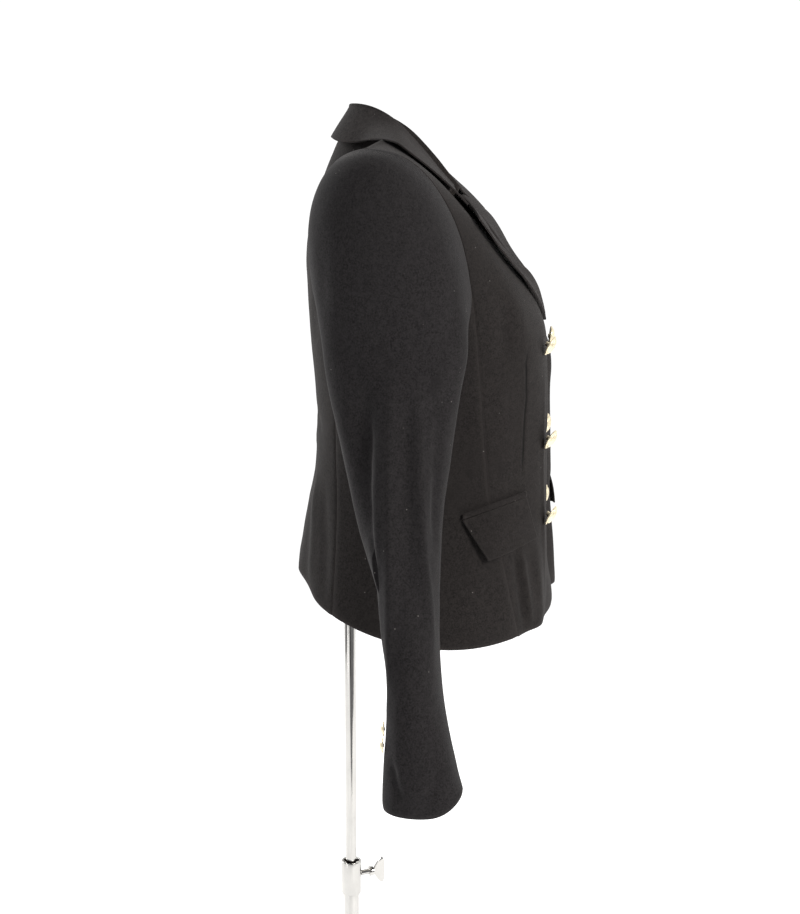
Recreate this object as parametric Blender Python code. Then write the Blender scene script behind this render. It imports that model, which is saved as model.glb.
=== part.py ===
"""A cropped double-breasted wool blazer on a limbless dress form and a telescoping stand.

Metres, +Z up. The origin is on the floor, on the axis of the pole. The front faces -Y
and the wearer's right side is at -X. Every piece of cloth is a closed wall of even
thickness, worked out from a smooth surface of the body that a few sections give, and
the pieces stand a seam's gap apart.
"""

import functools
import math

import bmesh
import bpy
import numpy as np

MM = 0.001

# Cloth
CLOTH = 1.9 * MM          # wool suiting with its canvas and facing, as one wall
SEAM_GAP = 0.45 * MM      # between two pieces at a seam
CHEST = 1245 * MM         # height where the side seams run into the armholes
BREAK = 1196 * MM         # height where the lapels start to roll
UNDERARM_DROP = 50 * MM   # how far the armhole dips below CHEST under the arm
OVERLAP_X = 66 * MM       # free edge of a front, past the centre line
UNDERLAP = 3.4 * MM       # how far the wearer's left front lies inside the right one

# Rows and columns of the grids that the walls are made from
LOWER_ROWS = 15           # hem to CHEST
UPPER_ROWS = 8            # CHEST to shoulder
FRONT_COLUMNS = 12
SIDE_COLUMNS = 6
NECK_COLUMNS = 3          # of a back piece, along the neck
SHOULDER_COLUMNS = 5      # of a back piece, along the shoulder
CAP_ROWS = 7              # of a sleeve, from the armhole to the first level ring

# Horizontal sections of the worn body of the blazer, in millimetres. "middle" is the
# depth of the side of the body, "squareness" the exponent of the outline.
BODY_COLUMNS = ("height", "half_width", "back", "front", "middle", "back_square", "front_square")
BODY = (
    (885, 180, 57, -219, -84, 2.2, 2.25),
    (925, 173, 53, -219, -84, 2.2, 2.25),
    (970, 164, 45, -218, -85, 2.3, 2.25),
    (1015, 154, 37, -217, -86, 2.4, 2.25),
    (1060, 145, 31, -217, -86, 2.4, 2.25),
    (1100, 142, 29, -217, -86, 2.4, 2.25),
    (1145, 147, 31, -216, -85, 2.4, 2.3),
    (1190, 156, 35, -210, -83, 2.3, 2.4),
    (1225, 163, 37, -198, -80, 2.2, 2.5),
    (1260, 167, 38, -181, -77, 2.2, 2.6),
)

# Where the hem lies, and where the seams run, by the turn in degrees round the body
# from the centre back (0) by the wearer's right side (90) to the centre front (180).
HEM_COLUMNS = ("turn", "height")
HEM = (
    (0, 950), (30, 944), (45, 930), (60, 920), (80, 907), (100, 898), (130, 898),
    (155, 903), (180, 905), (220, 904),
)
HEM_LEVEL = 890 * MM      # where the seams' turns at the hem are read
SEAM_COLUMNS = ("height", "side_front", "side_back")
SEAMS = (
    (885, 140.2, 58),
    (940, 133.0, 57),
    (985, 127.3, 56),
    (1035, 121.3, 53),
    (1075, 119.0, 49),
    (1130, 116.9, 49),
    (1190, 115.8, 54),
    (1245, 118.3, 60),
)

# The front's inner boundary above the break: how far it stands from the centre line.
ROLL_COLUMNS = ("height", "x")
ROLL = ((1196, 64), (1208, 50), (1220, 36), (1232, 23), (1245, 9))

# Upper boundaries of the wearer's right half, as points in millimetres.
NECK_POINT = (-67, -52, 1387)
SHOULDER_TIP = (-196, -48, 1368)
FRONT_NECK = (
    (-8, -160, 1270), (-24, -141, 1295), (-39, -119, 1319), (-51, -99, 1341),
    (-60, -80, 1362), (-65, -66, 1377), NECK_POINT,
)
BACK_NECK = ((0, 5, 1398), (-32, 0, 1396), (-56, -20, 1393), NECK_POINT)
CENTRE_BACK = ((0, 37, 1283), (0, 31, 1321), (0, 20, 1360), (0, 5, 1398))
ARMHOLE_FRONT = (
    (-153, -132, 1285), (-167, -122, 1314), (-181, -105, 1342), (-190, -85, 1359),
    (-195, -66, 1366), SHOULDER_TIP,
)
ARMHOLE_BACK = (
    (-164, 4, 1283), (-172, 2, 1314), (-181, -4, 1338), (-190, -16, 1355),
    (-195, -31, 1364), SHOULDER_TIP,
)

# Level sections of the wearer's right sleeve, in millimetres.
SLEEVE_COLUMNS = ("height", "front", "back", "outer", "inner", "squareness")
SLEEVE = (
    (791, -149, -75, -325, -261, 2.4),
    (812, -145, -75, -327, -257, 2.4),
    (826, -141, -76, -327, -254, 2.4),
    (841, -137, -77, -325, -249, 2.4),
    (873, -129, -78, -319, -236, 2.4),
    (902, -125, -78, -313, -227, 2.4),
    (923, -123, -77, -308, -221, 2.3),
    (960, -122, -67, -299, -212, 2.1),
    (987, -122, -59, -293, -205, 2.0),
    (1034, -123, -45, -283, -195, 2.0),
    (1074, -127, -36, -274, -187, 2.0),
    (1113, -132, -26, -265, -181, 2.0),
    (1151, -137, -16, -257, -177, 2.0),
    (1180, -143, -10, -251, -174, 2.0),
)
SLEEVE_TOP = 1180 * MM
CUFF_RISE = 7 * MM        # the front of the cuff's edge is higher than its outside

# Folds of the right sleeve: angle at the bottom and the top, the heights in millimetres
# that they run between, half width in degrees and how far they stand out.
SLEEVE_FOLDS = (
    (152, 88, 915, 1165, 15, 5.0),
    (178, 116, 935, 1150, 15, -5.0),
    (38, 52, 925, 1140, 13, 3.0),
    (75, 70, 980, 1130, 14, -2.5),
    (205, 190, 1020, 1110, 14, 3.0),
    (60, 62, 815, 890, 16, -2.5),
    (140, 138, 805, 860, 16, -2.5),
)
SLEEVE_FADE = 22
SLEEVE_HEIGHTS = (1180, 1160, 1138, 1114, 1088, 1062, 1036, 1011, 986, 961, 936, 911,
                  886, 862, 840, 816, 791)
BACK_SEAM_COLUMN = 15     # where the back seam starts, in points round the armhole

# Lapels: by the share of the way up the roll, how high the roll lies on the front, and
# where the outer edge lies across it and up it.
LAPEL_COLUMNS = ("share", "roll_up", "edge_across", "edge_up")
LAPEL = (
    (0.00, 0.870, 0.030, 0.868),
    (0.20, 0.955, 0.190, 0.945),
    (0.45, 1.100, 0.340, 1.045),
    (0.75, 1.310, 0.500, 1.190),
    (1.00, 1.485, 0.600, 1.295),
)
LAPEL_ROWS = 13
LEFT_LAPEL_START = (0.55, 0.22)   # share where the left lapel shows, at its roll and its edge
ROLL_RADIUS = 3.2 * MM    # of the rolled edge
ROLL_SHARE = 0.28         # of a lapel's columns that its roll takes
LAPEL_LIFT = CLOTH + 0.9 * MM
EDGE_STAND = 4.6 * MM     # how far a lapel's outer edge stands off the front
LAPEL_REST = 0.3 * MM     # between its roll and its edge it lies this far off LAPEL_LIFT
REST_ENDS = (0.55, 0.85)  # share of the roll over which it stops lying on the front

# Collar: points of its seam and of its fold, from the centre back to its front end, and
# where the leaf's edge lies on the back (1) or a front (0): across it, up it and how far
# it stands off, in millimetres.
COLLAR = (
    (0, 1, 1402, 0, -4, 1421, 1, 0.00, 1.945, 8.0),
    (-21, -1, 1402, -19, -7, 1422, 1, 0.14, 1.920, 8.5),
    (-36, -11, 1403, -33, -16, 1421, 1, 0.25, 1.880, 9.0),
    (-46, -25, 1402, -43, -29, 1418, 1, 0.320, 1.900, 9.5),
    (-54, -40, 1399, -51, -43, 1412, 1, 0.46, 1.915, 8.8),
    (-59, -55, 1388, -57, -58, 1402, 0, 0.43, 1.900, 6.0),
    (-60, -68, 1373, -59, -71, 1389, 0, 0.48, 1.770, 4.0),
    (-55, -83, 1355, -55, -88, 1370, 0, 0.51, 1.620, 3.8),
    (-50, -93, 1343, -50, -98, 1357, 0, 0.52, 1.480, 4.8),
    (-43, -108, 1328, -42, -113, 1340, 0, 0.52, 1.375, 6.0),
)
COLLAR_STATIONS = 14      # from the centre back to each end
FOLD_RADIUS = 2.6 * MM
LEAF_SWELL = 3.5 * MM     # how far the leaf rounds out between its fold and its edge

# A pocket from its rear end to its front end: the top of the welt and the turn there,
# and the flap's lower edge and the turn there.
POCKET_SHAPE = ("place", "welt", "turn", "bottom", "bottom_turn")
POCKET = (
    (0.0, 1025.8, 108.6, 979.9, 119.5),
    (0.3, 1033.2, 120.5, 983.4, 126.6),
    (0.6, 1037.5, 129.9, 988.0, 136.6),
    (0.85, 1040.0, 137.1, 991.2, 144.6),
    (1.0, 1041.2, 141.4, 991.9, 149.4),
)
POCKET_COLUMNS = 9
FLAP_ROWS = 5
WELT_HEIGHT = 5.5
FLAP_GAP = 0.6            # between the welt and the flap
POCKET_CLOTH = CLOTH - 0.2 * MM
POCKET_LIFT = CLOTH + 1.0 * MM    # outside of a flap or welt, off the front's
WELT_SWELL = 0.5 * MM
FLAP_STAND = 3.0 * MM     # how far the flap's rear corner stands off

# Buttons, in millimetres where no unit is given
BUTTON_HEIGHTS = (1184, 1090, 1012)
BUTTON_RADIUS = 10.5 * MM
# Each row of buttons: its letter, x, droop in degrees, lift off the front, and shank as a
# share of the radius. The right row hangs on a longer thread.
BUTTON_ROWS = (
    ("a", -58, 29, 2.6, 0.40),
    ("b", 51, 6, 1.9, 0.16),
)
BUTTON_SIDES = 12
CUFF_BUTTON_HEIGHTS = (860, 846)
CUFF_BUTTON_ANGLE = 168
CUFF_BUTTON_RADIUS = 6.6 * MM
CUFF_BUTTON_SHANK = 0.1
CUFF_BUTTON_LIFT = 0.6 * MM

# Form: height, half width, back, front and squareness, in millimetres
FORM = (
    (1004, 132, 16, -184, 2.3),
    (1060, 124, 12, -184, 2.3),
    (1110, 122, 10, -186, 2.3),
    (1160, 130, 13, -184, 2.3),
    (1210, 140, 16, -174, 2.3),
    (1250, 146, 18, -158, 2.2),
    (1285, 148, 15, -134, 2.2),
    (1315, 152, 8, -108, 2.2),
    (1335, 140, -2, -92, 2.2),
    (1350, 112, -10, -84, 2.2),
    (1359, 80, -16, -78, 2.1),
    (1367, 60, -20, -74, 2.0),
    (1376, 48, -22, -70, 2.0),
    (1388, 45, -22, -68, 2.0),
)
FORM_SIDES = 32

# Stand
BASE_RADIUS = 165 * MM
BASE_THICK = 9 * MM
LOWER_TUBE_RADIUS = 8.6 * MM
LOWER_TUBE_TOP = 595 * MM
MAST_RADIUS = 6.2 * MM
MAST_LOW = 330 * MM
MAST_TOP = 1003.6 * MM
SCREW_TURN = 28           # degrees that the wing screw points round from the front

# Materials: colour, roughness, metallic
MATERIALS = {
    "wool": ((0.021, 0.018, 0.017), 0.92, 0.0),
    "wool_lapel": ((0.024, 0.021, 0.020), 0.90, 0.0),
    "button_gold": ((0.78, 0.60, 0.30), 0.25, 1.0),
    "form_jersey": ((0.80, 0.77, 0.70), 0.85, 0.0),
    "chrome": ((0.74, 0.74, 0.75), 0.12, 1.0),
    "base_steel": ((0.62, 0.62, 0.63), 0.25, 1.0),
}


# ---------------------------------------------------------------- small helpers

def smooth_path(points, amount):
    """A point of the smooth curve through the given points, by amount from 0 to 1."""
    points = np.asarray(points, dtype=float)
    last = len(points) - 1
    place = min(max(amount, 0.0), 1.0) * last
    start = min(int(place), last - 1)
    t = place - start
    before = points[start - 1] if start > 0 else 2 * points[0] - points[1]
    after = points[start + 2] if start + 2 <= last else 2 * points[last] - points[last - 1]
    here, there = points[start], points[start + 1]
    slope_in, slope_out = (there - before) / 2, (after - here) / 2
    return ((2 * t**3 - 3 * t**2 + 1) * here + (t**3 - 2 * t**2 + t) * slope_in
            + (3 * t**2 - 2 * t**3) * there + (t**3 - t**2) * slope_out)


@functools.lru_cache(maxsize=None)
def table_curve(table, columns, name):
    """The keys of a table, a column's values at them and its slopes there."""
    keys = [row[0] for row in table]
    values = [row[columns.index(name)] for row in table]
    slopes = [(b - a) / (n - m) for a, b, m, n in zip(values, values[1:], keys, keys[1:])]
    tangents = [slopes[0]] + [(a + b) / 2 for a, b in zip(slopes, slopes[1:])] + [slopes[-1]]
    return keys, values, tangents


@functools.lru_cache(maxsize=None)
def lookup(table, columns, name, key):
    """A column's value, smoothly read between the rows of a table at a key."""
    keys, values, tangents = table_curve(table, columns, name)
    key = min(max(key, keys[0]), keys[-1])
    start = max(i for i in range(len(keys) - 1) if keys[i] <= key)
    width = keys[start + 1] - keys[start]
    t = (key - keys[start]) / width
    return ((2 * t**3 - 3 * t**2 + 1) * values[start]
            + (t**3 - 2 * t**2 + t) * width * tangents[start]
            + (3 * t**2 - 2 * t**3) * values[start + 1]
            + (t**3 - t**2) * width * tangents[start + 1])


def unit(vector):
    length = np.linalg.norm(vector)
    return vector / length if length > 0 else vector


def bump(value, centre, width):
    """A soft hill of height 1 at the centre, gone at about twice the width."""
    return math.exp(-((value - centre) / width) ** 2)


def ramp(value, start, end):
    """0 before start, 1 after end, and smooth between."""
    t = min(max((value - start) / (end - start), 0.0), 1.0)
    return t * t * (3 - 2 * t)


def mirrored(grid):
    return np.asarray(grid) * np.array([-1.0, 1.0, 1.0])


# ---------------------------------------------------------------- the worn body

def superellipse(angle, back_square, front_square):
    """Cosine and sine of an angle in degrees, drawn out to a squarer outline."""
    c, s = math.cos(math.radians(angle)), math.sin(math.radians(angle))
    power = 2 / (back_square if c > 0 else front_square)
    return math.copysign(abs(c) ** power, c), math.copysign(abs(s) ** power, s)


def body_shape(height, turn):
    """Outer surface of the cloth without its folds; the turn goes round from the back."""
    key = height / MM
    size = {name: lookup(BODY, BODY_COLUMNS, name, key) for name in BODY_COLUMNS[1:]}
    c, s = superellipse(turn, size["back_square"], size["front_square"])
    reach = size["back"] - size["middle"] if c > 0 else size["middle"] - size["front"]
    return np.array([-size["half_width"] * s, size["middle"] + reach * c, key]) * MM


# Large folds of the body: their turn at the bottom and the top, the heights that they
# run between, their half width in degrees and how far they stand out, in millimetres.
FOLD_COLUMNS = ("turn_low", "turn_high", "low", "high", "width", "depth")
FOLDS = (
    (153, 150, 885, 975, 6.0, 5.0),
    (146, 144, 885, 965, 4.0, -3.0),
    (166, 166, 885, 950, 7.0, -2.5),
    (207, 210, 885, 975, 6.0, 5.0),
    (215, 217, 885, 965, 4.0, -3.0),
    (22, 20, 915, 1020, 7.0, 3.5),
    (34, 33, 915, 1000, 6.0, -3.0),
    (338, 340, 915, 1010, 7.0, 3.0),
    (326, 327, 915, 1000, 6.0, -3.0),
    (143, 143, 1150, 1240, 13.0, 5.0),
    (217, 217, 1150, 1240, 13.0, 5.0),
    (38, 40, 1190, 1300, 16.0, 2.0),
    (322, 320, 1190, 1300, 16.0, 2.0),
    (214.5, 214.5, 885, 1185, 10.0, 20.5),
    (189, 188, 942, 1168, 16.0, -12.0),
    (112, 108, 1010, 1130, 7.0, -3.0),
    (248, 252, 1010, 1130, 7.0, -3.0),
)
FOLD_FADE = 28 * MM       # over which a fold dies out at an end that isn't the hem
HEM_FOLD = 930 * MM       # a fold that starts below this runs out over the hem


def fold_height(height, turn):
    total = 0.0
    for low_turn, high_turn, low, high, width, depth in FOLDS:
        low, high = low * MM, high * MM
        along = min(max((height - low) / (high - low), 0.0), 1.0)
        centre = low_turn + (high_turn - low_turn) * along
        away = (turn - centre + 180) % 360 - 180
        fade = 1 - ramp(height, high - FOLD_FADE, high + FOLD_FADE)
        if low > HEM_FOLD:
            fade *= ramp(height, low - FOLD_FADE, low + FOLD_FADE)
        total += depth * MM * fade * bump(away, 0.0, width)
    return total


def body_normal(height, turn, step_height=3 * MM, step_turn=1.5, shape=body_shape):
    """The direction out of the body, or of another shape of it."""
    up = shape(height + step_height, turn) - shape(height - step_height, turn)
    round_ = shape(height, turn + step_turn) - shape(height, turn - step_turn)
    return unit(np.cross(round_, up))


def body(height, turn):
    """Outer surface of the cloth with its folds."""
    return body_shape(height, turn) + body_normal(height, turn) * fold_height(height, turn)


def hem_height(turn):
    away = min(turn % 360, 360 - turn % 360) if turn > 220 else turn
    return lookup(HEM, HEM_COLUMNS, "height", abs(away)) * MM


def seam_turn(name, height):
    return lookup(SEAMS, SEAM_COLUMNS, name, height / MM)


def turn_of_x(height, x):
    """The turn on the front of the body that stands at x, past the centre line."""
    half_width = lookup(BODY, BODY_COLUMNS, "half_width", height / MM) * MM
    squareness = lookup(BODY, BODY_COLUMNS, "front_square", height / MM)
    sine = math.copysign(abs(x / half_width) ** (squareness / 2), x)
    return 180 + math.degrees(math.asin(sine))


def front_edge_turn(height):
    x = OVERLAP_X if height <= BREAK else lookup(ROLL, ROLL_COLUMNS, "x", height / MM) * MM
    return turn_of_x(height, x)


def coons(low, high, first, last, across, up):
    """A surface through four boundary curves, each a function of an amount."""
    corners = ((1 - across) * (1 - up) * low(0) + across * (1 - up) * low(1)
               + (1 - across) * up * high(0) + across * up * high(1))
    return ((1 - up) * low(across) + up * high(across)
            + (1 - across) * first(up) + across * last(up) - corners)


def boundary(start, points):
    """A smooth curve from a point of the body through the given millimetre points."""
    path = [start] + [np.array(point) * MM for point in points]
    return lambda amount: smooth_path(path, amount)


def front_surface(across, up, left=False):
    """A front, by the amount across from its edge to its side and up: 0 at the hem,
    1 at CHEST and 2 at the shoulder. The left one is given as its mirror image."""
    if up <= 1:
        inner = front_edge_turn(CHEST)
        hem = hem_height(inner + (seam_turn("side_front", HEM_LEVEL) - inner) * across)
        height = hem + (CHEST - hem) * up
        inner, outer = front_edge_turn(height), seam_turn("side_front", height)
        turn = inner + (outer - inner) * across
        return mirrored(body(height, 360 - turn)) if left else body(height, turn)
    inner, outer = front_edge_turn(CHEST), seam_turn("side_front", CHEST)
    return coons(lambda a: body(CHEST, inner + (outer - inner) * a),
                 lambda a: smooth_path(np.array([NECK_POINT, SHOULDER_TIP]) * MM, a),
                 boundary(body(CHEST, inner), FRONT_NECK),
                 boundary(body(CHEST, outer), ARMHOLE_FRONT), across, up - 1)


def back_surface(across, up):
    """A back, by the amount across from the centre back to its side, and up."""
    if up <= 1:
        hem = hem_height(seam_turn("side_back", HEM_LEVEL) * across)
        height = hem + (CHEST - hem) * up
        return body(height, seam_turn("side_back", height) * across)
    outer = seam_turn("side_back", CHEST)
    share = NECK_COLUMNS / (NECK_COLUMNS + SHOULDER_COLUMNS)

    def top(a):
        if a <= share:
            return smooth_path(np.array(BACK_NECK) * MM, a / share)
        return smooth_path(np.array([NECK_POINT, SHOULDER_TIP]) * MM, (a - share) / (1 - share))

    return coons(lambda a: body(CHEST, outer * a), top,
                 boundary(body(CHEST, 0), CENTRE_BACK),
                 boundary(body(CHEST, outer), ARMHOLE_BACK), across, up - 1)


def side_surface(across, up):
    """A side, from its front seam to its back seam, up to the armhole's dip."""
    front, back = seam_turn("side_front", HEM_LEVEL), seam_turn("side_back", HEM_LEVEL)
    hem = hem_height(front + (back - front) * across)
    top = CHEST - UNDERARM_DROP * math.sin(math.pi * across) ** 0.8
    height = hem + (top - hem) * up
    front, back = seam_turn("side_front", height), seam_turn("side_back", height)
    return body(height, front + (back - front) * across)


# ---------------------------------------------------------------- walls of cloth

def grid_of(surface, rows, columns):
    return np.array([[surface(c, r) for c in columns] for r in rows])


def grid_normals(grid, closed=False):
    """Normals of a grid of points, for rows that go up and columns that go round."""
    up = np.gradient(grid, axis=0)
    if closed:
        wide = np.concatenate([grid[:, -1:], grid, grid[:, :1]], axis=1)
        along = (wide[:, 2:] - wide[:, :-2]) / 2
    else:
        along = np.gradient(grid, axis=1)
    normals = np.cross(up, along)
    lengths = np.linalg.norm(normals, axis=2, keepdims=True)
    return normals / np.maximum(lengths, 1e-12)


def pulled_in(grid, edges="all"):
    """The grid with its outer rows and columns moved in by half a seam's gap."""
    grid = grid.copy()
    step = SEAM_GAP / 2

    def move(edge, inside):
        direction = inside - edge
        length = np.linalg.norm(direction, axis=-1, keepdims=True)
        return edge + direction / np.maximum(length, 1e-9) * step

    if edges in ("all", "columns"):
        grid[:, 0], grid[:, -1] = move(grid[:, 0], grid[:, 1]), move(grid[:, -1], grid[:, -2])
    if edges in ("all", "rows"):
        grid[0], grid[-1] = move(grid[0], grid[1]), move(grid[-1], grid[-2])
    return grid


def share_seam(grid, normals, column, seam):
    """Gives a column on a side seam the body's own normals, as its neighbour has."""
    for r, height in enumerate(grid[:, column, 2]):
        if height <= CHEST + SEAM_GAP:
            normals[r, column] = body_normal(height, seam_turn(seam, height))


def share_shoulder(normals, columns):
    """Gives the shoulder seam's points one upright normal, as the other piece has."""
    ridge = np.array(SHOULDER_TIP, dtype=float) - np.array(NECK_POINT)
    normals[-1, columns] = unit(np.cross(ridge, np.array([0, 1.0, 0])))
    if normals[-1, columns][0, 2] < 0:
        normals[-1, columns] *= -1


def new_object(name, mesh, material):
    obj = bpy.data.objects.new(name, mesh)
    bpy.context.scene.collection.objects.link(obj)
    mesh.materials.append(MATERIAL_BLOCKS[material])
    mesh.shade_smooth()
    mesh.set_sharp_from_angle(angle=math.radians(40))
    return obj


def mesh_from(name, points, faces, material):
    """A closed mesh from points and faces, with every face turned outwards."""
    mesh = bpy.data.meshes.new(name)
    mesh.from_pydata([tuple(point) for point in points], [], faces)
    build = bmesh.new()
    build.from_mesh(mesh)
    bmesh.ops.recalc_face_normals(build, faces=build.faces)
    build.to_mesh(mesh)
    build.free()
    return new_object(name, mesh, material)


def wall(name, outer, material="wool", thickness=CLOTH, closed=False, normals=None):
    """A wall of cloth: the grid is its outside, and its inside lies a thickness within."""
    if normals is None:
        normals = grid_normals(outer, closed)
    inner = outer - normals * thickness
    rows, columns = outer.shape[:2]
    points = np.concatenate([outer.reshape(-1, 3), inner.reshape(-1, 3)])
    layer = rows * columns
    faces = []
    spans = columns if closed else columns - 1
    for r in range(rows - 1):
        for c in range(spans):
            d = (c + 1) % columns
            quad = (r * columns + c, r * columns + d, (r + 1) * columns + d, (r + 1) * columns + c)
            faces.append(quad)
            faces.append(tuple(layer + i for i in reversed(quad)))
    for r in (0, rows - 1):
        for c in range(spans):
            d = (c + 1) % columns
            a, b = r * columns + c, r * columns + d
            faces.append((a, b, layer + b, layer + a))
    if not closed:
        for c in (0, columns - 1):
            for r in range(rows - 1):
                a, b = r * columns + c, (r + 1) * columns + c
                faces.append((a, b, layer + b, layer + a))
    return mesh_from(name, points, faces, material)


def both_sides(name, outer, material="wool", thickness=CLOTH, normals=None):
    """A piece for the wearer's right side and its mirror image for the left."""
    wall(name + "_right", outer, material, thickness, normals=normals)
    left = None if normals is None else mirrored(normals)
    flip = left if left is not None else mirrored(grid_normals(outer))
    wall(name + "_left", mirrored(outer), material, thickness, normals=flip)


def panel_rows():
    return list(np.linspace(0, 1, LOWER_ROWS + 1)) + list(np.linspace(1, 2, UPPER_ROWS + 1))[1:]


def make_backs():
    columns = np.linspace(0, 1, NECK_COLUMNS + SHOULDER_COLUMNS + 1)
    grid = pulled_in(grid_of(back_surface, panel_rows(), columns)[:, ::-1])
    normals = grid_normals(grid)
    normals[:, -1, 0] = 0.0
    normals[:, -1] /= np.linalg.norm(normals[:, -1], axis=1, keepdims=True)
    share_seam(grid, normals, 0, "side_back")
    share_shoulder(normals, slice(0, SHOULDER_COLUMNS + 1))
    both_sides("back", grid, normals=normals)


def make_sides():
    rows = np.linspace(0, 1, LOWER_ROWS + 1)
    columns = np.linspace(0, 1, SIDE_COLUMNS + 1)
    grid = pulled_in(grid_of(side_surface, rows, columns))
    normals = grid_normals(grid)
    share_seam(grid, normals, 0, "side_front")
    share_seam(grid, normals, -1, "side_back")
    both_sides("side", grid, normals=normals)


def left_under_right(points, normals):
    """Points of the wearer's left front, moved in where they pass under the right."""
    points = points.copy()
    for place in np.ndindex(points.shape[:-1]):
        x = points[place][0]
        depth = 1 - ramp(x, OVERLAP_X + 4 * MM, OVERLAP_X + 26 * MM)
        points[place] -= normals[place] * UNDERLAP * depth
    return points


def front_normals(grid):
    normals = grid_normals(grid)
    share_seam(grid, normals, -1, "side_front")
    share_shoulder(normals, slice(0, grid.shape[1]))
    return normals


def make_fronts():
    columns = np.linspace(0, 1, FRONT_COLUMNS + 1) ** 0.9
    grid = pulled_in(grid_of(front_surface, panel_rows(), columns))
    normals = front_normals(grid)
    wall("front_right", grid, normals=normals)
    left = pulled_in(grid_of(lambda a, u: front_surface(a, u, True), panel_rows(), columns))
    normals = mirrored(front_normals(left))
    wall("front_left", left_under_right(mirrored(left), normals), normals=normals)


def front_frame(across, up):
    """A point of the front, its outward normal and its direction away from the edge."""
    step = 0.01
    here = front_surface(across, up)
    high = front_surface(across, min(up + step, 2.0))
    low = front_surface(across, up - step)
    near = front_surface(max(across - step, 0.0), up)
    far = front_surface(min(across + step, 1.0), up)
    return here, unit(np.cross(high - low, far - near)), unit(far - near)


# ---------------------------------------------------------------- lapels

def lapel_point(place, row):
    """A point of a lapel: place 0 is the seam side of its roll, 1 its outer edge."""
    roll_up, edge_across, edge_up = (lookup(LAPEL, LAPEL_COLUMNS, name, row)
                                     for name in LAPEL_COLUMNS[1:])
    here, normal, away = front_frame(0.0, roll_up)
    if place < ROLL_SHARE:
        angle = math.radians(-80 + 160 * place / ROLL_SHARE)
        tight = ROLL_RADIUS * (0.12 + 0.88 * ramp(row, 0.0, 0.35))
        return (here + normal * tight * (1 + math.sin(angle)) - away * tight * math.cos(angle)
                + normal * LAPEL_LIFT - away * SEAM_GAP)
    share = (place - ROLL_SHARE) / (1 - ROLL_SHARE)
    across = edge_across * share
    up = roll_up + (edge_up - roll_up) * share
    here, normal, away = front_frame(across, up)
    full = 2 * ROLL_RADIUS * (0.12 + 0.88 * ramp(row, 0.0, 0.35))
    rise = full + (EDGE_STAND * ramp(row, 0.0, 0.6) - full) * ramp(share, 0.0, 0.9)
    resting = ramp(share, 0.0, 0.35) * (1 - ramp(share, 0.6, 1.0)) * (1 - ramp(row, *REST_ENDS))
    rise += (LAPEL_REST - rise) * resting
    return here + normal * (rise + LAPEL_LIFT)


def left_lapel_point(place, row):
    """The left lapel shows down to a slant where it passes under the right front."""
    at_roll, at_edge = LEFT_LAPEL_START
    start = at_roll + (at_edge - at_roll) * place
    return lapel_point(place, start + (1 - start) * row)


def make_lapels():
    places = list(np.linspace(0, ROLL_SHARE, 4)) + list(np.linspace(ROLL_SHARE, 1, 7))[1:]
    right = grid_of(lapel_point, np.linspace(0, 1, LAPEL_ROWS + 1), places)
    wall("lapel_right", right)
    left = grid_of(left_lapel_point, np.linspace(0, 1, LAPEL_ROWS - 3), places)
    wall("lapel_left", mirrored(left), normals=mirrored(grid_normals(left)))


# ---------------------------------------------------------------- collar

def panel_point(surface, across, up, lift):
    """A point of a panel, moved out along its normal."""
    step = 0.02
    high = surface(across, min(up + step, 2.0)) - surface(across, up - step)
    far = surface(min(across + step, 1.0), up) - surface(max(across - step, 0.0), up)
    normal = unit(np.cross(high, far))
    if np.dot(normal, np.array([0, -0.2, 1.0]) if surface is front_surface
              else np.array([0, 0.6, 1.0])) < 0:
        normal = -normal
    return surface(across, up) + normal * lift


def collar_section(station):
    """Points across the collar, from its seam inside over the fold to the leaf's edge."""
    edges = [panel_point(back_surface if row[6] else front_surface, row[7], row[8],
                         row[9] * MM) for row in COLLAR]
    seam, crest = (smooth_path(np.array([row[i:i + 3] for row in COLLAR]) * MM, station)
                   for i in (0, 3))
    edge = smooth_path(edges, station)
    out = unit(edge - seam + np.array([1e-6, 0, 0]))
    out = unit(out - np.array([0, 0, 1]) * 0.3)
    rise = unit(crest - seam)
    points = [seam + (crest - seam) * t - out * 0.5 * MM for t in (0.0, 0.3, 0.6, 0.85)]
    for angle in (50, 90, 130):
        turn = math.radians(angle)
        points.append(crest + out * (1 - math.cos(turn)) * FOLD_RADIUS
                      + rise * math.sin(turn) * FOLD_RADIUS)
    over = crest + out * 2 * FOLD_RADIUS
    for t in (0.15, 0.4, 0.7, 1.0):
        points.append(over + (edge - over) * t + out * LEAF_SWELL * math.sin(math.pi * t))
    return points


def make_collar():
    half = [collar_section(station) for station in np.linspace(0, 1, COLLAR_STATIONS + 1)]
    right = np.array(half)
    left = mirrored(right[1:])[::-1]
    grid = np.concatenate([left, right])
    wall("collar", grid, "wool_lapel", normals=-grid_normals(grid))


# ---------------------------------------------------------------- sleeves

def sleeve_ring(height, angle):
    """A level section of the right sleeve: angle 0 in front, 90 outside, 180 behind."""
    size = {name: lookup(SLEEVE, SLEEVE_COLUMNS, name, height / MM)
            for name in SLEEVE_COLUMNS[1:]}
    c, s = superellipse(angle, size["squareness"], size["squareness"])
    half_depth = (size["back"] - size["front"]) / 2
    half_width = (size["inner"] - size["outer"]) / 2
    point = np.array([(size["inner"] + size["outer"]) / 2 - half_width * s,
                      (size["front"] + size["back"]) / 2 - half_depth * c, height / MM]) * MM
    outward = unit(np.array([-s * half_depth, -c * half_width, 0.0]))
    rise = sum(depth * MM * bump((angle - centre + 180) % 360 - 180, 0.0, width)
               for centre, width, depth in sleeve_folds(height))
    return point + outward * rise


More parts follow.
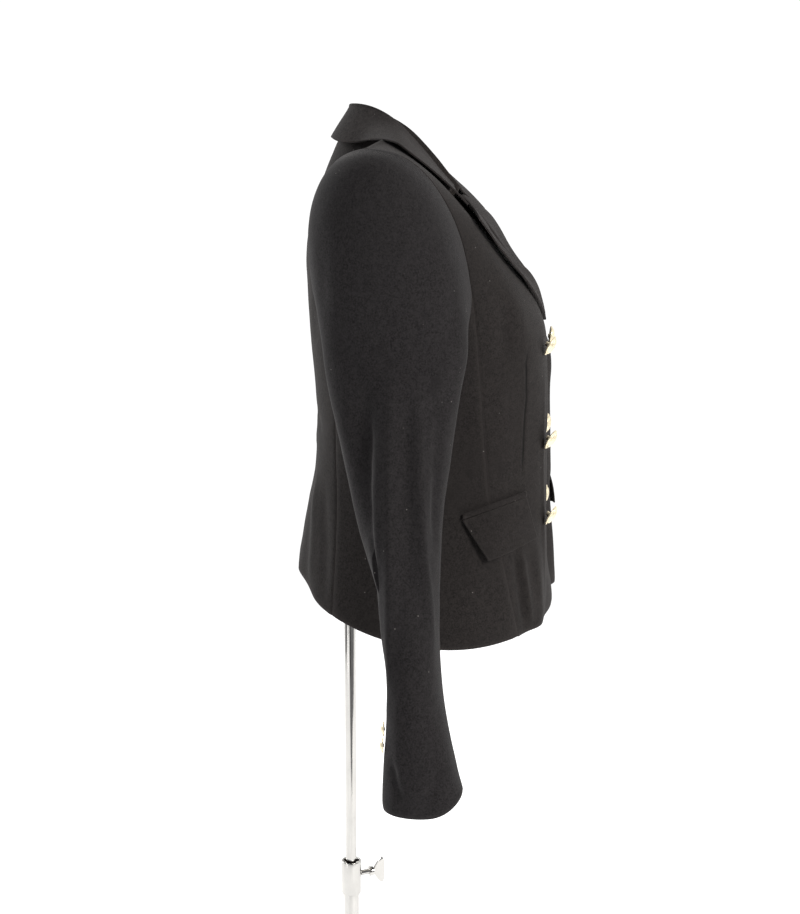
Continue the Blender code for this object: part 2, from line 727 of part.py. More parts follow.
def sleeve_folds(height):
    """The folds that cross a level of the sleeve, as angle, half width and depth."""
    folds = []
    for row in SLEEVE_FOLDS:
        low_angle, high_angle, low, high, width, depth = row
        along = min(max((height / MM - low) / (high - low), 0.0), 1.0)
        fade = (ramp(height / MM, low - SLEEVE_FADE, low + SLEEVE_FADE)
                * (1 - ramp(height / MM, high - SLEEVE_FADE, high + SLEEVE_FADE)))
        folds.append((low_angle + (high_angle - low_angle) * along, width, depth * fade))
    return folds


def armhole_points():
    """The armhole of the wearer's right side: up the front, over the tip, down the back
    and round under the arm, as points and the directions that the sleeve leaves in."""
    rows = np.linspace(1, 2, UPPER_ROWS + 1)
    front = [front_surface(1.0, up) for up in rows]
    back = [back_surface(1.0, up) for up in rows[::-1]][1:]
    under = [side_surface(c, 1.0) for c in np.linspace(1, 0, SIDE_COLUMNS + 1)][1:-1]
    return np.array(front + back + under)


def sleeve_angles():
    """The angle round the sleeve of each armhole point."""
    outer = np.linspace(-22, 202, 2 * UPPER_ROWS + 1)
    inner = np.linspace(202, 338, SIDE_COLUMNS + 1)[1:-1]
    return list(outer) + list(inner)


def sleeve_grid():
    armhole, angles = armhole_points(), sleeve_angles()
    grid = []
    for k, (start, angle) in enumerate(zip(armhole, angles)):
        outside = max(math.sin(math.radians(angle)), 0.0)
        forward = -math.cos(math.radians(angle))
        leave = unit(np.array([-0.45 - 0.55 * outside, 0.28 * forward, -0.75 + 0.78 * outside]))
        end = sleeve_ring(SLEEVE_TOP, angle)
        span = np.linalg.norm(end - start)
        first = start + leave * span * (0.30 + 0.16 * outside)
        second = end + np.array([0, 0, 1]) * span * (0.30 + 0.14 * outside)
        column = []
        for t in np.linspace(0, 1, CAP_ROWS + 1)[:-1]:
            point = ((1 - t)**3 * start + 3 * (1 - t)**2 * t * first
                     + 3 * (1 - t) * t**2 * second + t**3 * end)
            if t == 0:
                point = start + leave * SEAM_GAP * 0.8
            column.append(point)
        for height in SLEEVE_HEIGHTS:
            level = height * MM
            if height == SLEEVE_HEIGHTS[-1]:
                level += CUFF_RISE * max(math.cos(math.radians(angle)), 0.0) ** 2
            column.append(sleeve_ring(max(level, SLEEVE[0][0] * MM), angle)
                          + np.array([0, 0, max(level - height * MM, 0.0)]))
        grid.append(column)
    return np.array(grid).transpose(1, 0, 2)


def sleeve_normals(grid):
    normals = -grid_normals(grid, closed=True)
    # the first row shares the armhole's slant with the body, so the walls meet square
    centre = grid[0].mean(axis=0)
    for k in range(grid.shape[1]):
        spoke = grid[0, k] - centre
        spoke[0] = 0.0
        normals[0, k] = unit(normals[0, k] * 0.4 + unit(spoke) * 0.6)
    return normals


def make_sleeves():
    grid = sleeve_grid()
    normals = sleeve_normals(grid)
    count = grid.shape[1]
    upper = list(range(0, BACK_SEAM_COLUMN + 1))
    under = list(range(BACK_SEAM_COLUMN, count)) + [0]
    for name, picked in (("sleeve_upper", upper), ("sleeve_under", under)):
        piece = grid[:, picked].copy()
        piece = pulled_in(piece, "columns")
        both_sides(name, piece, normals=normals[:, picked])


# ---------------------------------------------------------------- pockets

def on_body(height, turn, lift):
    return body(height, turn) + body_normal(height, turn) * lift


def pocket_row(place, name):
    return lookup(POCKET, POCKET_SHAPE, name, place)


def welt_point(place, row):
    """A point of a welt: height, turn and how far it stands off the front."""
    height = pocket_row(place, "welt") - WELT_HEIGHT * row
    return height * MM, pocket_row(place, "turn"), POCKET_LIFT + WELT_SWELL * math.sin(math.pi * row)


def flap_point(place, row):
    """A point of a flap, in the same terms: row 0 is its seam, 1 its lower edge."""
    top = pocket_row(place, "welt") - WELT_HEIGHT - FLAP_GAP
    height = top + (pocket_row(place, "bottom") - top) * row
    turn = pocket_row(place, "turn")
    turn += (pocket_row(place, "bottom_turn") - turn) * row
    return height * MM, turn, POCKET_LIFT + FLAP_STAND * row * (1.3 - place)


def make_pockets():
    places = np.linspace(1, 0, POCKET_COLUMNS + 1)
    for name, point, rows in (("pocket_welt", welt_point, 2), ("pocket_flap", flap_point, FLAP_ROWS)):
        table = [[point(place, row) for place in places] for row in np.linspace(1, 0, rows + 1)]
        right = np.array([[on_body(*entry) for entry in line] for line in table])
        left = np.array([[on_body(height, 360 - turn, lift) for height, turn, lift in line]
                         for line in table])
        wall(name + "_right", right, thickness=POCKET_CLOTH, normals=grid_normals(right))
        wall(name + "_left", left, thickness=POCKET_CLOTH,
             normals=mirrored(grid_normals(mirrored(left))))


# ---------------------------------------------------------------- turned pieces

def turned(name, profile, material, sides, origin=(0, 0, 0), axis=(0, 0, 1)):
    """A solid turned about its own axis: the profile is (radius, height) pairs that run
    from one end of the axis to the other."""
    axis = unit(np.array(axis, dtype=float))
    helper = np.array([1.0, 0, 0]) if abs(axis[0]) < 0.9 else np.array([0, 1.0, 0])
    side = unit(np.cross(helper, axis))
    other = np.cross(axis, side)
    points, faces = [], []
    rings = []
    for radius, height in profile:
        if radius == 0:
            rings.append([len(points)])
            points.append(np.array(origin) + axis * height)
            continue
        ring = []
        for k in range(sides):
            angle = 2 * math.pi * k / sides
            ring.append(len(points))
            points.append(np.array(origin) + axis * height
                          + (side * math.cos(angle) + other * math.sin(angle)) * radius)
        rings.append(ring)
    pairs = list(zip(rings, rings[1:]))
    if profile[0][0] > 0 and profile[-1][0] > 0:
        pairs.append((rings[-1], rings[0]))
    for low, high in pairs:
        for k in range(sides):
            j = (k + 1) % sides
            if len(low) == 1:
                faces.append((low[0], high[j], high[k]))
            elif len(high) == 1:
                faces.append((low[k], low[j], high[0]))
            else:
                faces.append((low[k], low[j], high[j], high[k]))
    return mesh_from(name, points, faces, material)


def dome_button(name, place, axis, radius, shank_share):
    """A domed metal button on its shank; the profile runs from the shank to the top."""
    shank, rim, dome = radius * shank_share, radius * 0.16, radius * 0.34
    profile = [(0, 0), (radius * 0.2, 0), (radius * 0.2, shank), (radius * 0.92, shank),
               (radius, shank + rim * 0.5), (radius * 0.93, shank + rim)]
    for angle in (25, 50, 72):
        turn = math.radians(angle)
        profile.append((radius * 0.93 * math.cos(turn), shank + rim + dome * math.sin(turn)))
    profile.append((0, shank + rim + dome))
    turned(name, profile, "button_gold", BUTTON_SIDES, place, axis)


def make_buttons():
    for row, height in enumerate(BUTTON_HEIGHTS, start=1):
        level = height * MM
        for side, x, droop, lift, shank in BUTTON_ROWS:
            turn = turn_of_x(level, x * MM)
            normal = body_normal(level, turn, BUTTON_RADIUS, 4.0, body)
            level_out = unit(np.array([normal[0], normal[1], 0.0]))
            tilt = math.radians(droop)
            axis = level_out * math.cos(tilt) - np.array([0, 0, 1]) * math.sin(tilt)
            place = on_body(level, turn, lift * MM)
            dome_button(f"button_{side}{row}", place, axis, BUTTON_RADIUS, shank)
    for row, height in enumerate(CUFF_BUTTON_HEIGHTS, start=1):
        point = sleeve_ring(height * MM, CUFF_BUTTON_ANGLE)
        near = sleeve_ring(height * MM, CUFF_BUTTON_ANGLE + 4)
        back = sleeve_ring(height * MM, CUFF_BUTTON_ANGLE - 4)
        normal = unit(np.cross(near - back, np.array([0, 0, 1.0])))
        if normal[1] < 0:
            normal = -normal
        for side, flip in (("right", 1.0), ("left", -1.0)):
            mirror = np.array([flip, 1.0, 1.0])
            place = (point + normal * CUFF_BUTTON_LIFT) * mirror
            dome_button(f"cuff_button_{side}{row}", place, normal * mirror,
                        CUFF_BUTTON_RADIUS, CUFF_BUTTON_SHANK)


# ---------------------------------------------------------------- form and stand

def make_form():
    """The limbless torso that the blazer is on, smooth and closed all round."""
    rings = []
    for row in FORM:
        height, half_width, back, front, square = row
        ring = []
        for k in range(FORM_SIDES):
            c, s = superellipse(360 * k / FORM_SIDES, square, square)
            ring.append(np.array([-half_width * s, (back + front) / 2 + (back - front) / 2 * c,
                                  height]) * MM)
        rings.append(ring)
    points = [point for ring in rings for point in ring]
    faces = []
    for r in range(len(rings) - 1):
        for k in range(FORM_SIDES):
            j = (k + 1) % FORM_SIDES
            faces.append((r * FORM_SIDES + k, r * FORM_SIDES + j,
                          (r + 1) * FORM_SIDES + j, (r + 1) * FORM_SIDES + k))
    faces.append(tuple(range(FORM_SIDES)))
    faces.append(tuple(range(len(points) - FORM_SIDES, len(points))))
    mesh_from("form", points, faces, "form_jersey")


def make_stand():
    base, rim = BASE_RADIUS, BASE_THICK
    turned("base_plate", [(0, 0), (base, 0), (base, rim * 0.6), (base - 3 * MM, rim),
                          (0, rim)], "base_steel", 48)
    lower = LOWER_TUBE_RADIUS
    bore = lower - 1.4 * MM
    foot = rim + 0.3 * MM
    turned("lower_tube", [(lower, foot + 8 * MM), (lower, LOWER_TUBE_TOP),
                          (bore, LOWER_TUBE_TOP), (bore, foot + 8 * MM)], "chrome", 24)
    turned("base_socket", [(0, foot), (26 * MM, foot), (26 * MM, foot + 3 * MM),
                           (14 * MM, foot + 7.7 * MM), (0, foot + 7.7 * MM)], "chrome", 24)
    ring_low, ring_top = LOWER_TUBE_TOP - 34 * MM, LOWER_TUBE_TOP + 4 * MM
    outer, inner = lower + 2.6 * MM, lower + 0.3 * MM
    turned("clamp_ring", [(outer, ring_low), (outer, ring_top), (inner, ring_top),
                          (inner, ring_low)], "chrome", 24)
    turned("mast", [(0, MAST_LOW), (MAST_RADIUS, MAST_LOW), (MAST_RADIUS, MAST_TOP),
                    (0, MAST_TOP)], "chrome", 24)
    level = LOWER_TUBE_TOP - 13 * MM
    aim = unit(np.array([math.sin(math.radians(SCREW_TURN)), -math.cos(math.radians(SCREW_TURN)),
                         0.0]))
    start = outer + 0.4 * MM
    origin = np.array([0, 0, level])
    turned("screw_shaft", [(0, start), (3 * MM, start), (3 * MM, start + 9 * MM),
                           (5.5 * MM, start + 9 * MM), (5.5 * MM, start + 14 * MM),
                           (0, start + 14 * MM)], "chrome", 16, origin, aim)
    make_wing(origin + aim * (start + 14.3 * MM), aim)


def make_wing(place, aim):
    """The two ears of the screw, one rounded bar with a dip between its ends."""
    up = np.array([0, 0, 1.0])
    side = np.cross(aim, up)
    outline = []
    for degrees in range(0, 360, 20):
        angle = math.radians(degrees)
        reach = 15 * MM * (0.62 + 0.38 * math.cos(angle) ** 2)
        outline.append((reach * math.cos(angle), 6.5 * MM * math.sin(angle) + 6.6 * MM
                        + 4 * MM * math.cos(angle) ** 2))
    points = []
    for half in (-1.6 * MM, 1.6 * MM):
        points += [place + up * u + aim * v + side * half for u, v in outline]
    count = len(outline)
    faces = [tuple(range(count)), tuple(range(2 * count - 1, count - 1, -1))]
    faces += [(k, (k + 1) % count, count + (k + 1) % count, count + k) for k in range(count)]
    mesh_from("screw_wing", points, faces, "chrome")


def make_materials():
    for name, (colour, roughness, metallic) in MATERIALS.items():
        block = bpy.data.materials.new(name)
        block.use_nodes = True
        shader = block.node_tree.nodes["Principled BSDF"]
        shader.inputs["Base Color"].default_value = (*colour, 1.0)
        shader.inputs["Roughness"].default_value = roughness
        shader.inputs["Metallic"].default_value = metallic
        MATERIAL_BLOCKS[name] = block


def main():
    for obj in list(bpy.data.objects):
        bpy.data.objects.remove(obj, do_unlink=True)
    make_materials()
    make_backs()
    make_sides()
    make_fronts()
    make_lapels()
    make_collar()
    make_sleeves()
    make_pockets()
    make_buttons()
    make_form()
    make_stand()


MATERIAL_BLOCKS = {}
main()
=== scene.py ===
"""Looks of a charcoal double-breasted blazer on a limbless dress form with a pole stand.

Metres, +Z up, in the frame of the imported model: the front faces -Y and the wearer's
right side is at -X. Each piece of cloth is finished from a copy of its own solid: merged,
subdivided, creased along given lines and given a wool cloth. The buttons are modelled
anew, and the stand's pieces get broken edges and metal finishes.
"""

import math

import bmesh
import bpy
import numpy as np
from bpy.props import FloatProperty, FloatVectorProperty, PointerProperty
from mathutils import Matrix, Vector, noise
from mathutils.bvhtree import BVHTree


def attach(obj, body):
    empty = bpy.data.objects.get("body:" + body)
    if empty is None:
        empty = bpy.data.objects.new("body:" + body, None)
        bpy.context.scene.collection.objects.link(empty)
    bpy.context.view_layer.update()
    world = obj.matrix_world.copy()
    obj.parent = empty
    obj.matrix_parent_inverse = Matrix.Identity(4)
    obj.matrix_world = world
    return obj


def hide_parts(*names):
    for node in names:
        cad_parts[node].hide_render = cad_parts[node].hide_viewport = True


bl_info = {
    "name": "Blazer on a Dress Form",
    "version": (1, 0, 0),
    "blender": (4, 5, 0),
    "location": "3D View > Sidebar > Blazer",
    "description": "Finishes a tailored wool blazer, its buttons, its form and its stand",
    "category": "Object",
}

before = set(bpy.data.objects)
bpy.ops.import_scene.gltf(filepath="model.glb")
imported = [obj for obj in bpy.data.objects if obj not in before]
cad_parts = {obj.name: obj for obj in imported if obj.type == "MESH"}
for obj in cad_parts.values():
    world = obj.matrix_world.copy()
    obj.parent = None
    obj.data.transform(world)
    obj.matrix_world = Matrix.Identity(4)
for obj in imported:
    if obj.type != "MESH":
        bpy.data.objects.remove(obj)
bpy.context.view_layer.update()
MM = 0.001

# Copies of the solids: points closer than this are one, in metres, and two triangles make
# a quad up to this angle between them
MERGE_DISTANCE = 0.00001
QUAD_ANGLE = math.radians(60)

# The axis that the body's cloth is worn round, the radius that places round it are
# measured on, and the middle line of the right sleeve, in millimetres
BODY_AXIS = (0.0, -85.0)
BODY_RADIUS = 145.0
SLEEVE_LINE = ((-205, -62, 1330), (-212, -77, 1180), (-246, -88, 1040), (-266, -98, 920),
               (-288, -106, 850), (-293, -112, 790))

# Radius in metres that the weave's map is laid round on
WEAVE_RADIUS = {"sleeve": 0.048, "collar": 0.10, "body": 0.165}

# The rim of a wall of cloth: edges sharper than the angle, how firmly they are held when
# the faces are halved, and how near to the rim the cloth starts to sink, from 0 to 1
RIM_ANGLE = math.radians(52)
RIM_HOLD = 0.8
RIM_START = 0.72

# The form's edges: those sharper than the angle, and how firmly they are held
FORM_EDGE_ANGLE = math.radians(60)
FORM_EDGE_HOLD = 0.7

# The slow unevenness of the cloth: two scales per metre, and the second one's share
WANDER_SCALES = (21.0, 52.0)
WANDER_SHARE = 0.45

# A lapel's lower end rests on its front: fully below the first height, not at all above
# the second, in millimetres. Its underside moves by the reach at most.
LAPEL_RESTS = (1232.0, 1256.0)
LAPEL_REACH = 3.4
LAPEL_CLEAR = 0.2
LAPEL_PROBE = 0.5         # how far outside a point the search for the front starts

# Cut of each piece of cloth: width, length and area in metres, how it is held, what it
# rests on and how often its solid's faces are halved.
CUTS = {
    "back": (0.24, 0.51, 0.0730, "draped", "form", 2),
    "side": (0.21, 0.36, 0.0518, "draped", "form", 2),
    "front": (0.30, 0.52, 0.1030, "draped", "form", 3),
    "sleeve_upper": (0.27, 0.62, 0.1045, "hung", "front", 3),
    "sleeve_under": (0.16, 0.50, 0.0490, "hung", "side", 2),
    "lapel": (0.11, 0.21, 0.0130, "folded", "front", 3),
    "collar": (0.52, 0.10, 0.0309, "folded", "back", 3),
    "pocket_flap": (0.078, 0.058, 0.0036, "hung", "front", 3),
    "pocket_welt": (0.074, 0.0105, 0.0006, "laid", "front", 2),
}
LEFT_LAPEL = (0.11, 0.15, 0.0091, "folded", "front", 3)

# Soft creases of the right side, in millimetres: what they lie on, their line, their half
# width and how far they stand out. The left side has them a little weaker and shifted.
# The lines of the sleeve and the front that the photograph shows, and DART below, were
# read off it through its camera and rounded; those of the hidden sides are made up.
CREASES = (
    # the long ridge down the outside of the sleeve, and the hollow behind it
    ("sleeve", ((-259, -79, 1165), (-268, -80, 1106), (-280, -81, 1046), (-290, -82, 995),
                (-297, -82, 943), (-299, -81, 880)), 6.5, 4.2),
    ("sleeve", ((-250, -56, 1156), (-262, -55, 1090), (-274, -57, 1030), (-286, -64, 960)),
     11.0, -8.0),
    # the shorter ridge in front of it, and the hollows on both its sides
    ("sleeve", ((-253, -101, 1160), (-258, -103, 1123), (-267, -104, 1080),
                (-279, -110, 1012), (-286, -118, 945)), 5.5, 3.6),
    ("sleeve", ((-258, -91, 1140), (-266, -93, 1090), (-281, -97, 1010), (-290, -101, 950)),
     4.5, -1.2),
    ("sleeve", ((-243, -119, 1150), (-254, -118, 1090), (-266, -122, 1016)), 7.5, -4.0),
    # soft dents and a ridge over the cuff
    ("sleeve", ((-316, -87, 838), (-321, -90, 822), (-324, -96, 802)), 5.0, -2.6),
    ("sleeve", ((-321, -128, 834), (-325, -121, 812), (-326, -118, 796)), 7.0, -1.8),
    ("sleeve", ((-310, -104, 846), (-318, -108, 826), (-323, -110, 806)), 6.0, 1.4),
    # in the bend of the elbow
    ("sleeve", ((-233, -134, 1152), (-246, -122, 1141), (-256, -106, 1134)), 6.0, -1.8),
    ("sleeve", ((-236, -134, 1132), (-250, -120, 1122), (-259, -106, 1117)), 6.5, 1.2),
    # on the upper arm and the cap
    ("sleeve", ((-241, -28, 1208), (-247, -38, 1180), (-252, -52, 1162)), 8.0, -2.0),
    ("sleeve", ((-224, -132, 1230), (-238, -124, 1198)), 9.0, -1.8),
    ("sleeve", ((-226, -30, 1306), (-234, -18, 1262), (-232, -12, 1216)), 11.0, -1.6),
    ("sleeve", ((-247, -62, 1302), (-250, -62, 1240)), 15.0, 1.2),
    # across the forearm and behind the elbow
    ("sleeve", ((-306, -110, 888), (-297, -126, 872)), 6.0, -1.4),
    ("sleeve", ((-305, -84, 906), (-309, -100, 890)), 7.0, 1.1),
    ("sleeve", ((-288, -46, 1008), (-274, -60, 984)), 7.0, -2.2),
    ("sleeve", ((-282, -44, 1046), (-268, -54, 1024)), 7.5, 1.5),
    # under the pocket
    ("body", ((-110, -189, 984), (-105, -195, 932), (-102, -199, 905)), 5.0, 2.8),
    ("body", ((-119, -184, 984), (-115, -190, 938), (-112, -194, 906)), 5.5, -2.4),
    ("body", ((-96, -195, 984), (-91, -201, 940), (-88, -204, 906)), 7.0, -1.6),
    ("body", ((-141, -162, 976), (-146, -158, 930), (-147, -156, 902)), 8.0, -1.4),
    # from the back's waist down to its hem
    ("body", ((-76, 22, 1052), (-96, 21, 996), (-110, 24, 938)), 9.0, 2.8),
    ("body", ((-106, 12, 1044), (-124, 6, 986), (-134, 2, 930)), 9.0, -2.4),
    ("body", ((-30, 36, 1046), (-40, 44, 980), (-48, 50, 943)), 10.0, 2.0),
    # across the back's waist
    ("body", ((-62, 28, 1112), (-86, 21, 1096)), 7.0, -1.3),
    ("body", ((-18, 33, 1124), (-60, 29, 1112)), 8.0, -1.2),
    ("body", ((-24, 34, 1092), (-62, 29, 1082)), 7.0, 0.9),
    # across the side's and the front's waist
    ("body", ((-151, -66, 1084), (-145, -106, 1072)), 7.0, -1.6),
    ("body", ((-150, -110, 1124), (-135, -152, 1106)), 8.0, -1.3),
    ("body", ((-146, -126, 1098), (-126, -168, 1086)), 8.0, 0.9),
    # drawn in from the buttons, and down where the front turns
    ("body", ((-48, -213, 1094), (-10, -214, 1084)), 5.0, -1.1),
    ("body", ((-46, -212, 1010), (-6, -213, 1020)), 5.0, -1.1),
    ("body", ((-58, -208, 1150), (-60, -207, 1060), (-58, -210, 925)), 5.0, 1.2),
    # from the armhole over the shoulder blade, and beside the bust
    ("body", ((-140, 8, 1266), (-118, 26, 1216), (-96, 32, 1186)), 13.0, -1.9),
    ("body", ((-129, -166, 1236), (-127, -171, 1204), (-122, -174, 1168)), 10.0, -1.8),
    ("body", ((-112, -180, 1230), (-108, -186, 1190)), 12.0, 1.2),
)
CREASE_FADE = 0.22        # share of a crease's line over which it fades at each end
CREASE_LEFT = 0.25        # what is left of it at its very ends
LEFT_SHARE = 0.85         # of a crease's depth, on the left side
LEFT_SHIFT = (3, 0, 8)    # how far a crease of the left side is moved, in millimetres

# The stitched line of the dart that runs from the bust down to the pocket. Its seam and
# the cloth that swells along it each have a half width and a depth, in millimetres.
DART = ((-99, -194, 1196), (-105, -191, 1169), (-96, -191, 1134), (-96, -189, 1085),
        (-101, -189, 1046))
DART_SEAM = (1.9, 0.8)
DART_SWELL = (8.0, 0.7)

# The pale fibres that lie on the wool
LINT_COLOUR = (0.135, 0.125, 0.118)

# Buttons: the height of the rim and of the whole head as shares of the radius, and the
# dome's steps from the rim to the middle. Each goes in by a share of the radius and rises
# by a share of the dome.
BUTTON_RIM = 0.15
BUTTON_HEAD = 0.50
BUTTON_STEPS = ((0.06, 0.10), (0.05, 0.02), (0.03, -0.10), (0.03, 0.14), (0.06, 0.26),
                (0.10, 0.22), (0.13, 0.16), (0.15, 0.11), (0.16, 0.07), (0.14, 0.02))

# The back of a button, as shares of the radius: how far in from the rim its hollow starts
# and how deep it is, how far in from there the shank's foot starts and how far it rises,
# the least room that a shank needs, and how far it stops short of the cloth
BUTTON_HOLLOW = (0.10, 0.05)
BUTTON_FOOT = (0.68, 0.04)
SHANK_ROOM = 0.06
SHANK_SHORT = 0.01

# Stage: the floor's radius in metres and its glow, the world's colour behind the camera
# and in front of it, and between which directions one goes over into the other
FLOOR_RADIUS = 3.3
FLOOR_GLOW = 0.55
DIM_SIDE = (0.26, 0.26, 0.27)
BRIGHT_SIDE = (1.06, 1.06, 1.06)
BRIGHT_FROM = (-0.1, 0.55)
SENSOR_WIDTH = 36.0       # of the camera, in millimetres

# Lamps: name, place, aim, width and height, power in watts, colour
LAMPS = (
    ("key", (-2.0, -2.7, 2.9), (0, -0.08, 1.1), (1.1, 1.1), 125.0, (1, 0.985, 0.96)),
    ("fill", (-2.6, 1.8, 2.6), (0, -0.05, 1.1), (1.2, 1.2), 7.0, (0.95, 0.97, 1)),
    ("front", (0.8, -2.8, 1.5), (0, -0.1, 1.1), (1.2, 1.2), 10.0, (1, 0.98, 0.96)),
    ("back", (1.2, 2.6, 2.4), (0, 0.0, 1.1), (1.2, 1.2), 80.0, (1, 1, 1)),
    ("strip", (-2.3, 1.9, 0.7), (0, 0, 0.7), (0.45, 1.5), 7.0, (1, 1, 1)),
)


# ---------------------------------------------------------------- settings

class BlazerClothSettings(bpy.types.PropertyGroup):
    body_colour: FloatVectorProperty(
        name="Body wool", description="Colour of the fronts, backs, sides and pockets",
        subtype="COLOR", size=3, min=0, max=1, default=(0.0150, 0.0130, 0.0124))
    sleeve_colour: FloatVectorProperty(
        name="Sleeve wool", description="Colour of the sleeves, a little cooler than the body's",
        subtype="COLOR", size=3, min=0, max=1, default=(0.0140, 0.0127, 0.0131))
    collar_colour: FloatVectorProperty(
        name="Collar wool", description="Colour of the collar and the lapels",
        subtype="COLOR", size=3, min=0, max=1, default=(0.0200, 0.0174, 0.0168))
    twill_width: FloatProperty(
        name="Twill rib", description="Distance between two diagonal ribs of the weave",
        subtype="DISTANCE", unit="LENGTH", default=0.0012, min=0.0003)
    nap_depth: FloatProperty(
        name="Nap", description="Height of the brushed fibres over the weave",
        subtype="DISTANCE", unit="LENGTH", default=0.0005, min=0.0)
    crease_scale: FloatProperty(
        name="Creases", description="Share of the creases' full depth",
        subtype="FACTOR", default=1.0, min=0.0, max=2.0)
    unevenness: FloatProperty(
        name="Unevenness", description="How far the cloth wanders between its creases",
        subtype="DISTANCE", unit="LENGTH", default=0.0007, min=0.0)
    edge_pinch: FloatProperty(
        name="Pressed edge", description="How far the cloth sinks at a seam or an edge",
        subtype="DISTANCE", unit="LENGTH", default=0.0006, min=0.0)
    seam_reach: FloatProperty(
        name="Seam reach", description="How far each piece reaches over its seam's gap",
        subtype="DISTANCE", unit="LENGTH", default=0.0009, min=0.0)


class BlazerTrimSettings(bpy.types.PropertyGroup):
    button_colour: FloatVectorProperty(
        name="Button metal", description="Pale gold of the buttons",
        subtype="COLOR", size=3, min=0, max=1, default=(0.90, 0.80, 0.58))
    chrome_colour: FloatVectorProperty(
        name="Stand metal", description="Plated steel of the pole and the clamp",
        subtype="COLOR", size=3, min=0, max=1, default=(0.50, 0.49, 0.47))
    base_colour: FloatVectorProperty(
        name="Base metal", description="Brushed steel of the round base",
        subtype="COLOR", size=3, min=0, max=1, default=(0.62, 0.62, 0.63))
    jersey_colour: FloatVectorProperty(
        name="Form jersey", description="Knitted cover of the dress form",
        subtype="COLOR", size=3, min=0, max=1, default=(0.74, 0.70, 0.62))
    edge_radius: FloatProperty(
        name="Broken edge", description="Rounding of the hard pieces' edges",
        subtype="DISTANCE", unit="LENGTH", default=0.0004, min=0.0001)


class BlazerStageSettings(bpy.types.PropertyGroup):
    camera_place: FloatVectorProperty(
        name="Camera", description="Where the camera stands",
        subtype="TRANSLATION", unit="LENGTH", size=3, default=(-1.4888, -0.2378, 1.294))
    camera_turn: FloatProperty(
        name="Turn", description="Direction that the camera looks in, from +X towards +Y",
        subtype="ANGLE", unit="ROTATION", default=math.radians(7.0))
    camera_dip: FloatProperty(
        name="Dip", description="How far below the horizon the camera looks",
        subtype="ANGLE", unit="ROTATION", default=math.radians(8.97))
    lens: FloatProperty(
        name="Lens", description="Focal length on a 36 mm wide sensor",
        default=64.1, min=1.0)
    floor_colour: FloatVectorProperty(
        name="Floor", description="Pale colour of the floor and the sweep behind",
        subtype="COLOR", size=3, min=0, max=1, default=(0.90, 0.90, 0.90))
    light: FloatProperty(
        name="Light", description="Strength of the soft studio lights",
        subtype="FACTOR", default=1.0, min=0.0, max=10.0)


# ---------------------------------------------------------------- shader helpers

def add_node(tree, kind, values=None, **settings):
    """A shader node with its settings and the values of its unlinked inputs."""
    node = tree.nodes.new(kind)
    for name, value in settings.items():
        setattr(node, name, value)
    for name, value in (values or {}).items():
        node.inputs[name].default_value = value
    return node


def mixed(tree, amount, first, second):
    """A colour between two, each an output or a plain colour."""
    node = add_node(tree, "ShaderNodeMix", data_type="RGBA")
    for index, source in ((0, amount), (6, first), (7, second)):
        if isinstance(source, bpy.types.NodeSocket):
            tree.links.new(source, node.inputs[index])
        elif index:
            node.inputs[index].default_value = (*source, 1.0)
        else:
            node.inputs[index].default_value = source
    return node.outputs[2]


def steps(tree, source, low, high):
    """A value's stretch from low to high, spread over 0 to 1 and held outside it."""
    node = add_node(tree, "ShaderNodeMapRange", {"From Min": low, "From Max": high})
    tree.links.new(source, node.inputs["Value"])
    return node.outputs["Result"]


def noise_of(tree, vector, scale, detail=3.0, rough=0.55, stretch=None):
    """Noise from 0 to 1. Where a stretch is given, its axes are scaled by that first."""
    if stretch:
        mapping = add_node(tree, "ShaderNodeMapping", {"Scale": stretch})
        tree.links.new(vector, mapping.inputs["Vector"])
        vector = mapping.outputs["Vector"]
    node = add_node(tree, "ShaderNodeTexNoise",
                    {"Scale": scale, "Detail": detail, "Roughness": rough})
    tree.links.new(vector, node.inputs["Vector"])
    return node.outputs["Fac"]


def bumped(tree, height, strength, distance, below=None):
    """A normal with a height on it, over the bump that lies below."""
    node = add_node(tree, "ShaderNodeBump", {"Strength": strength, "Distance": distance})
    tree.links.new(height, node.inputs["Height"])
    if below is not None:
        tree.links.new(below, node.inputs["Normal"])
    return node.outputs["Normal"]


def new_material(name):
    """A new material, its tree and its shader."""
    material = bpy.data.materials.new(name)
    material.use_nodes = True
    tree = material.node_tree
    return material, tree, tree.nodes["Principled BSDF"]


def shade(colour, amount):
    """A colour times an amount."""
    return tuple(min(max(c * amount, 0.0), 1.0) for c in colour)


def with_lint(tree, place, base):
    """A colour with a few pale fibres scattered over it."""
    lint = add_node(tree, "ShaderNodeTexVoronoi", {"Scale": 150.0, "Randomness": 1.0})
    tree.links.new(place, lint.inputs["Vector"])
    chosen = add_node(tree, "ShaderNodeSeparateColor")
    tree.links.new(lint.outputs["Color"], chosen.inputs["Color"])
    near = steps(tree, lint.outputs["Distance"], 0.10, 0.05)
    rare = steps(tree, chosen.outputs["Red"], 0.90, 0.92)
    both = add_node(tree, "ShaderNodeMath", operation="MULTIPLY")
    tree.links.new(near, both.inputs[0])
    tree.links.new(rare, both.inputs[1])
    return mixed(tree, both.outputs[0], base, LINT_COLOUR)


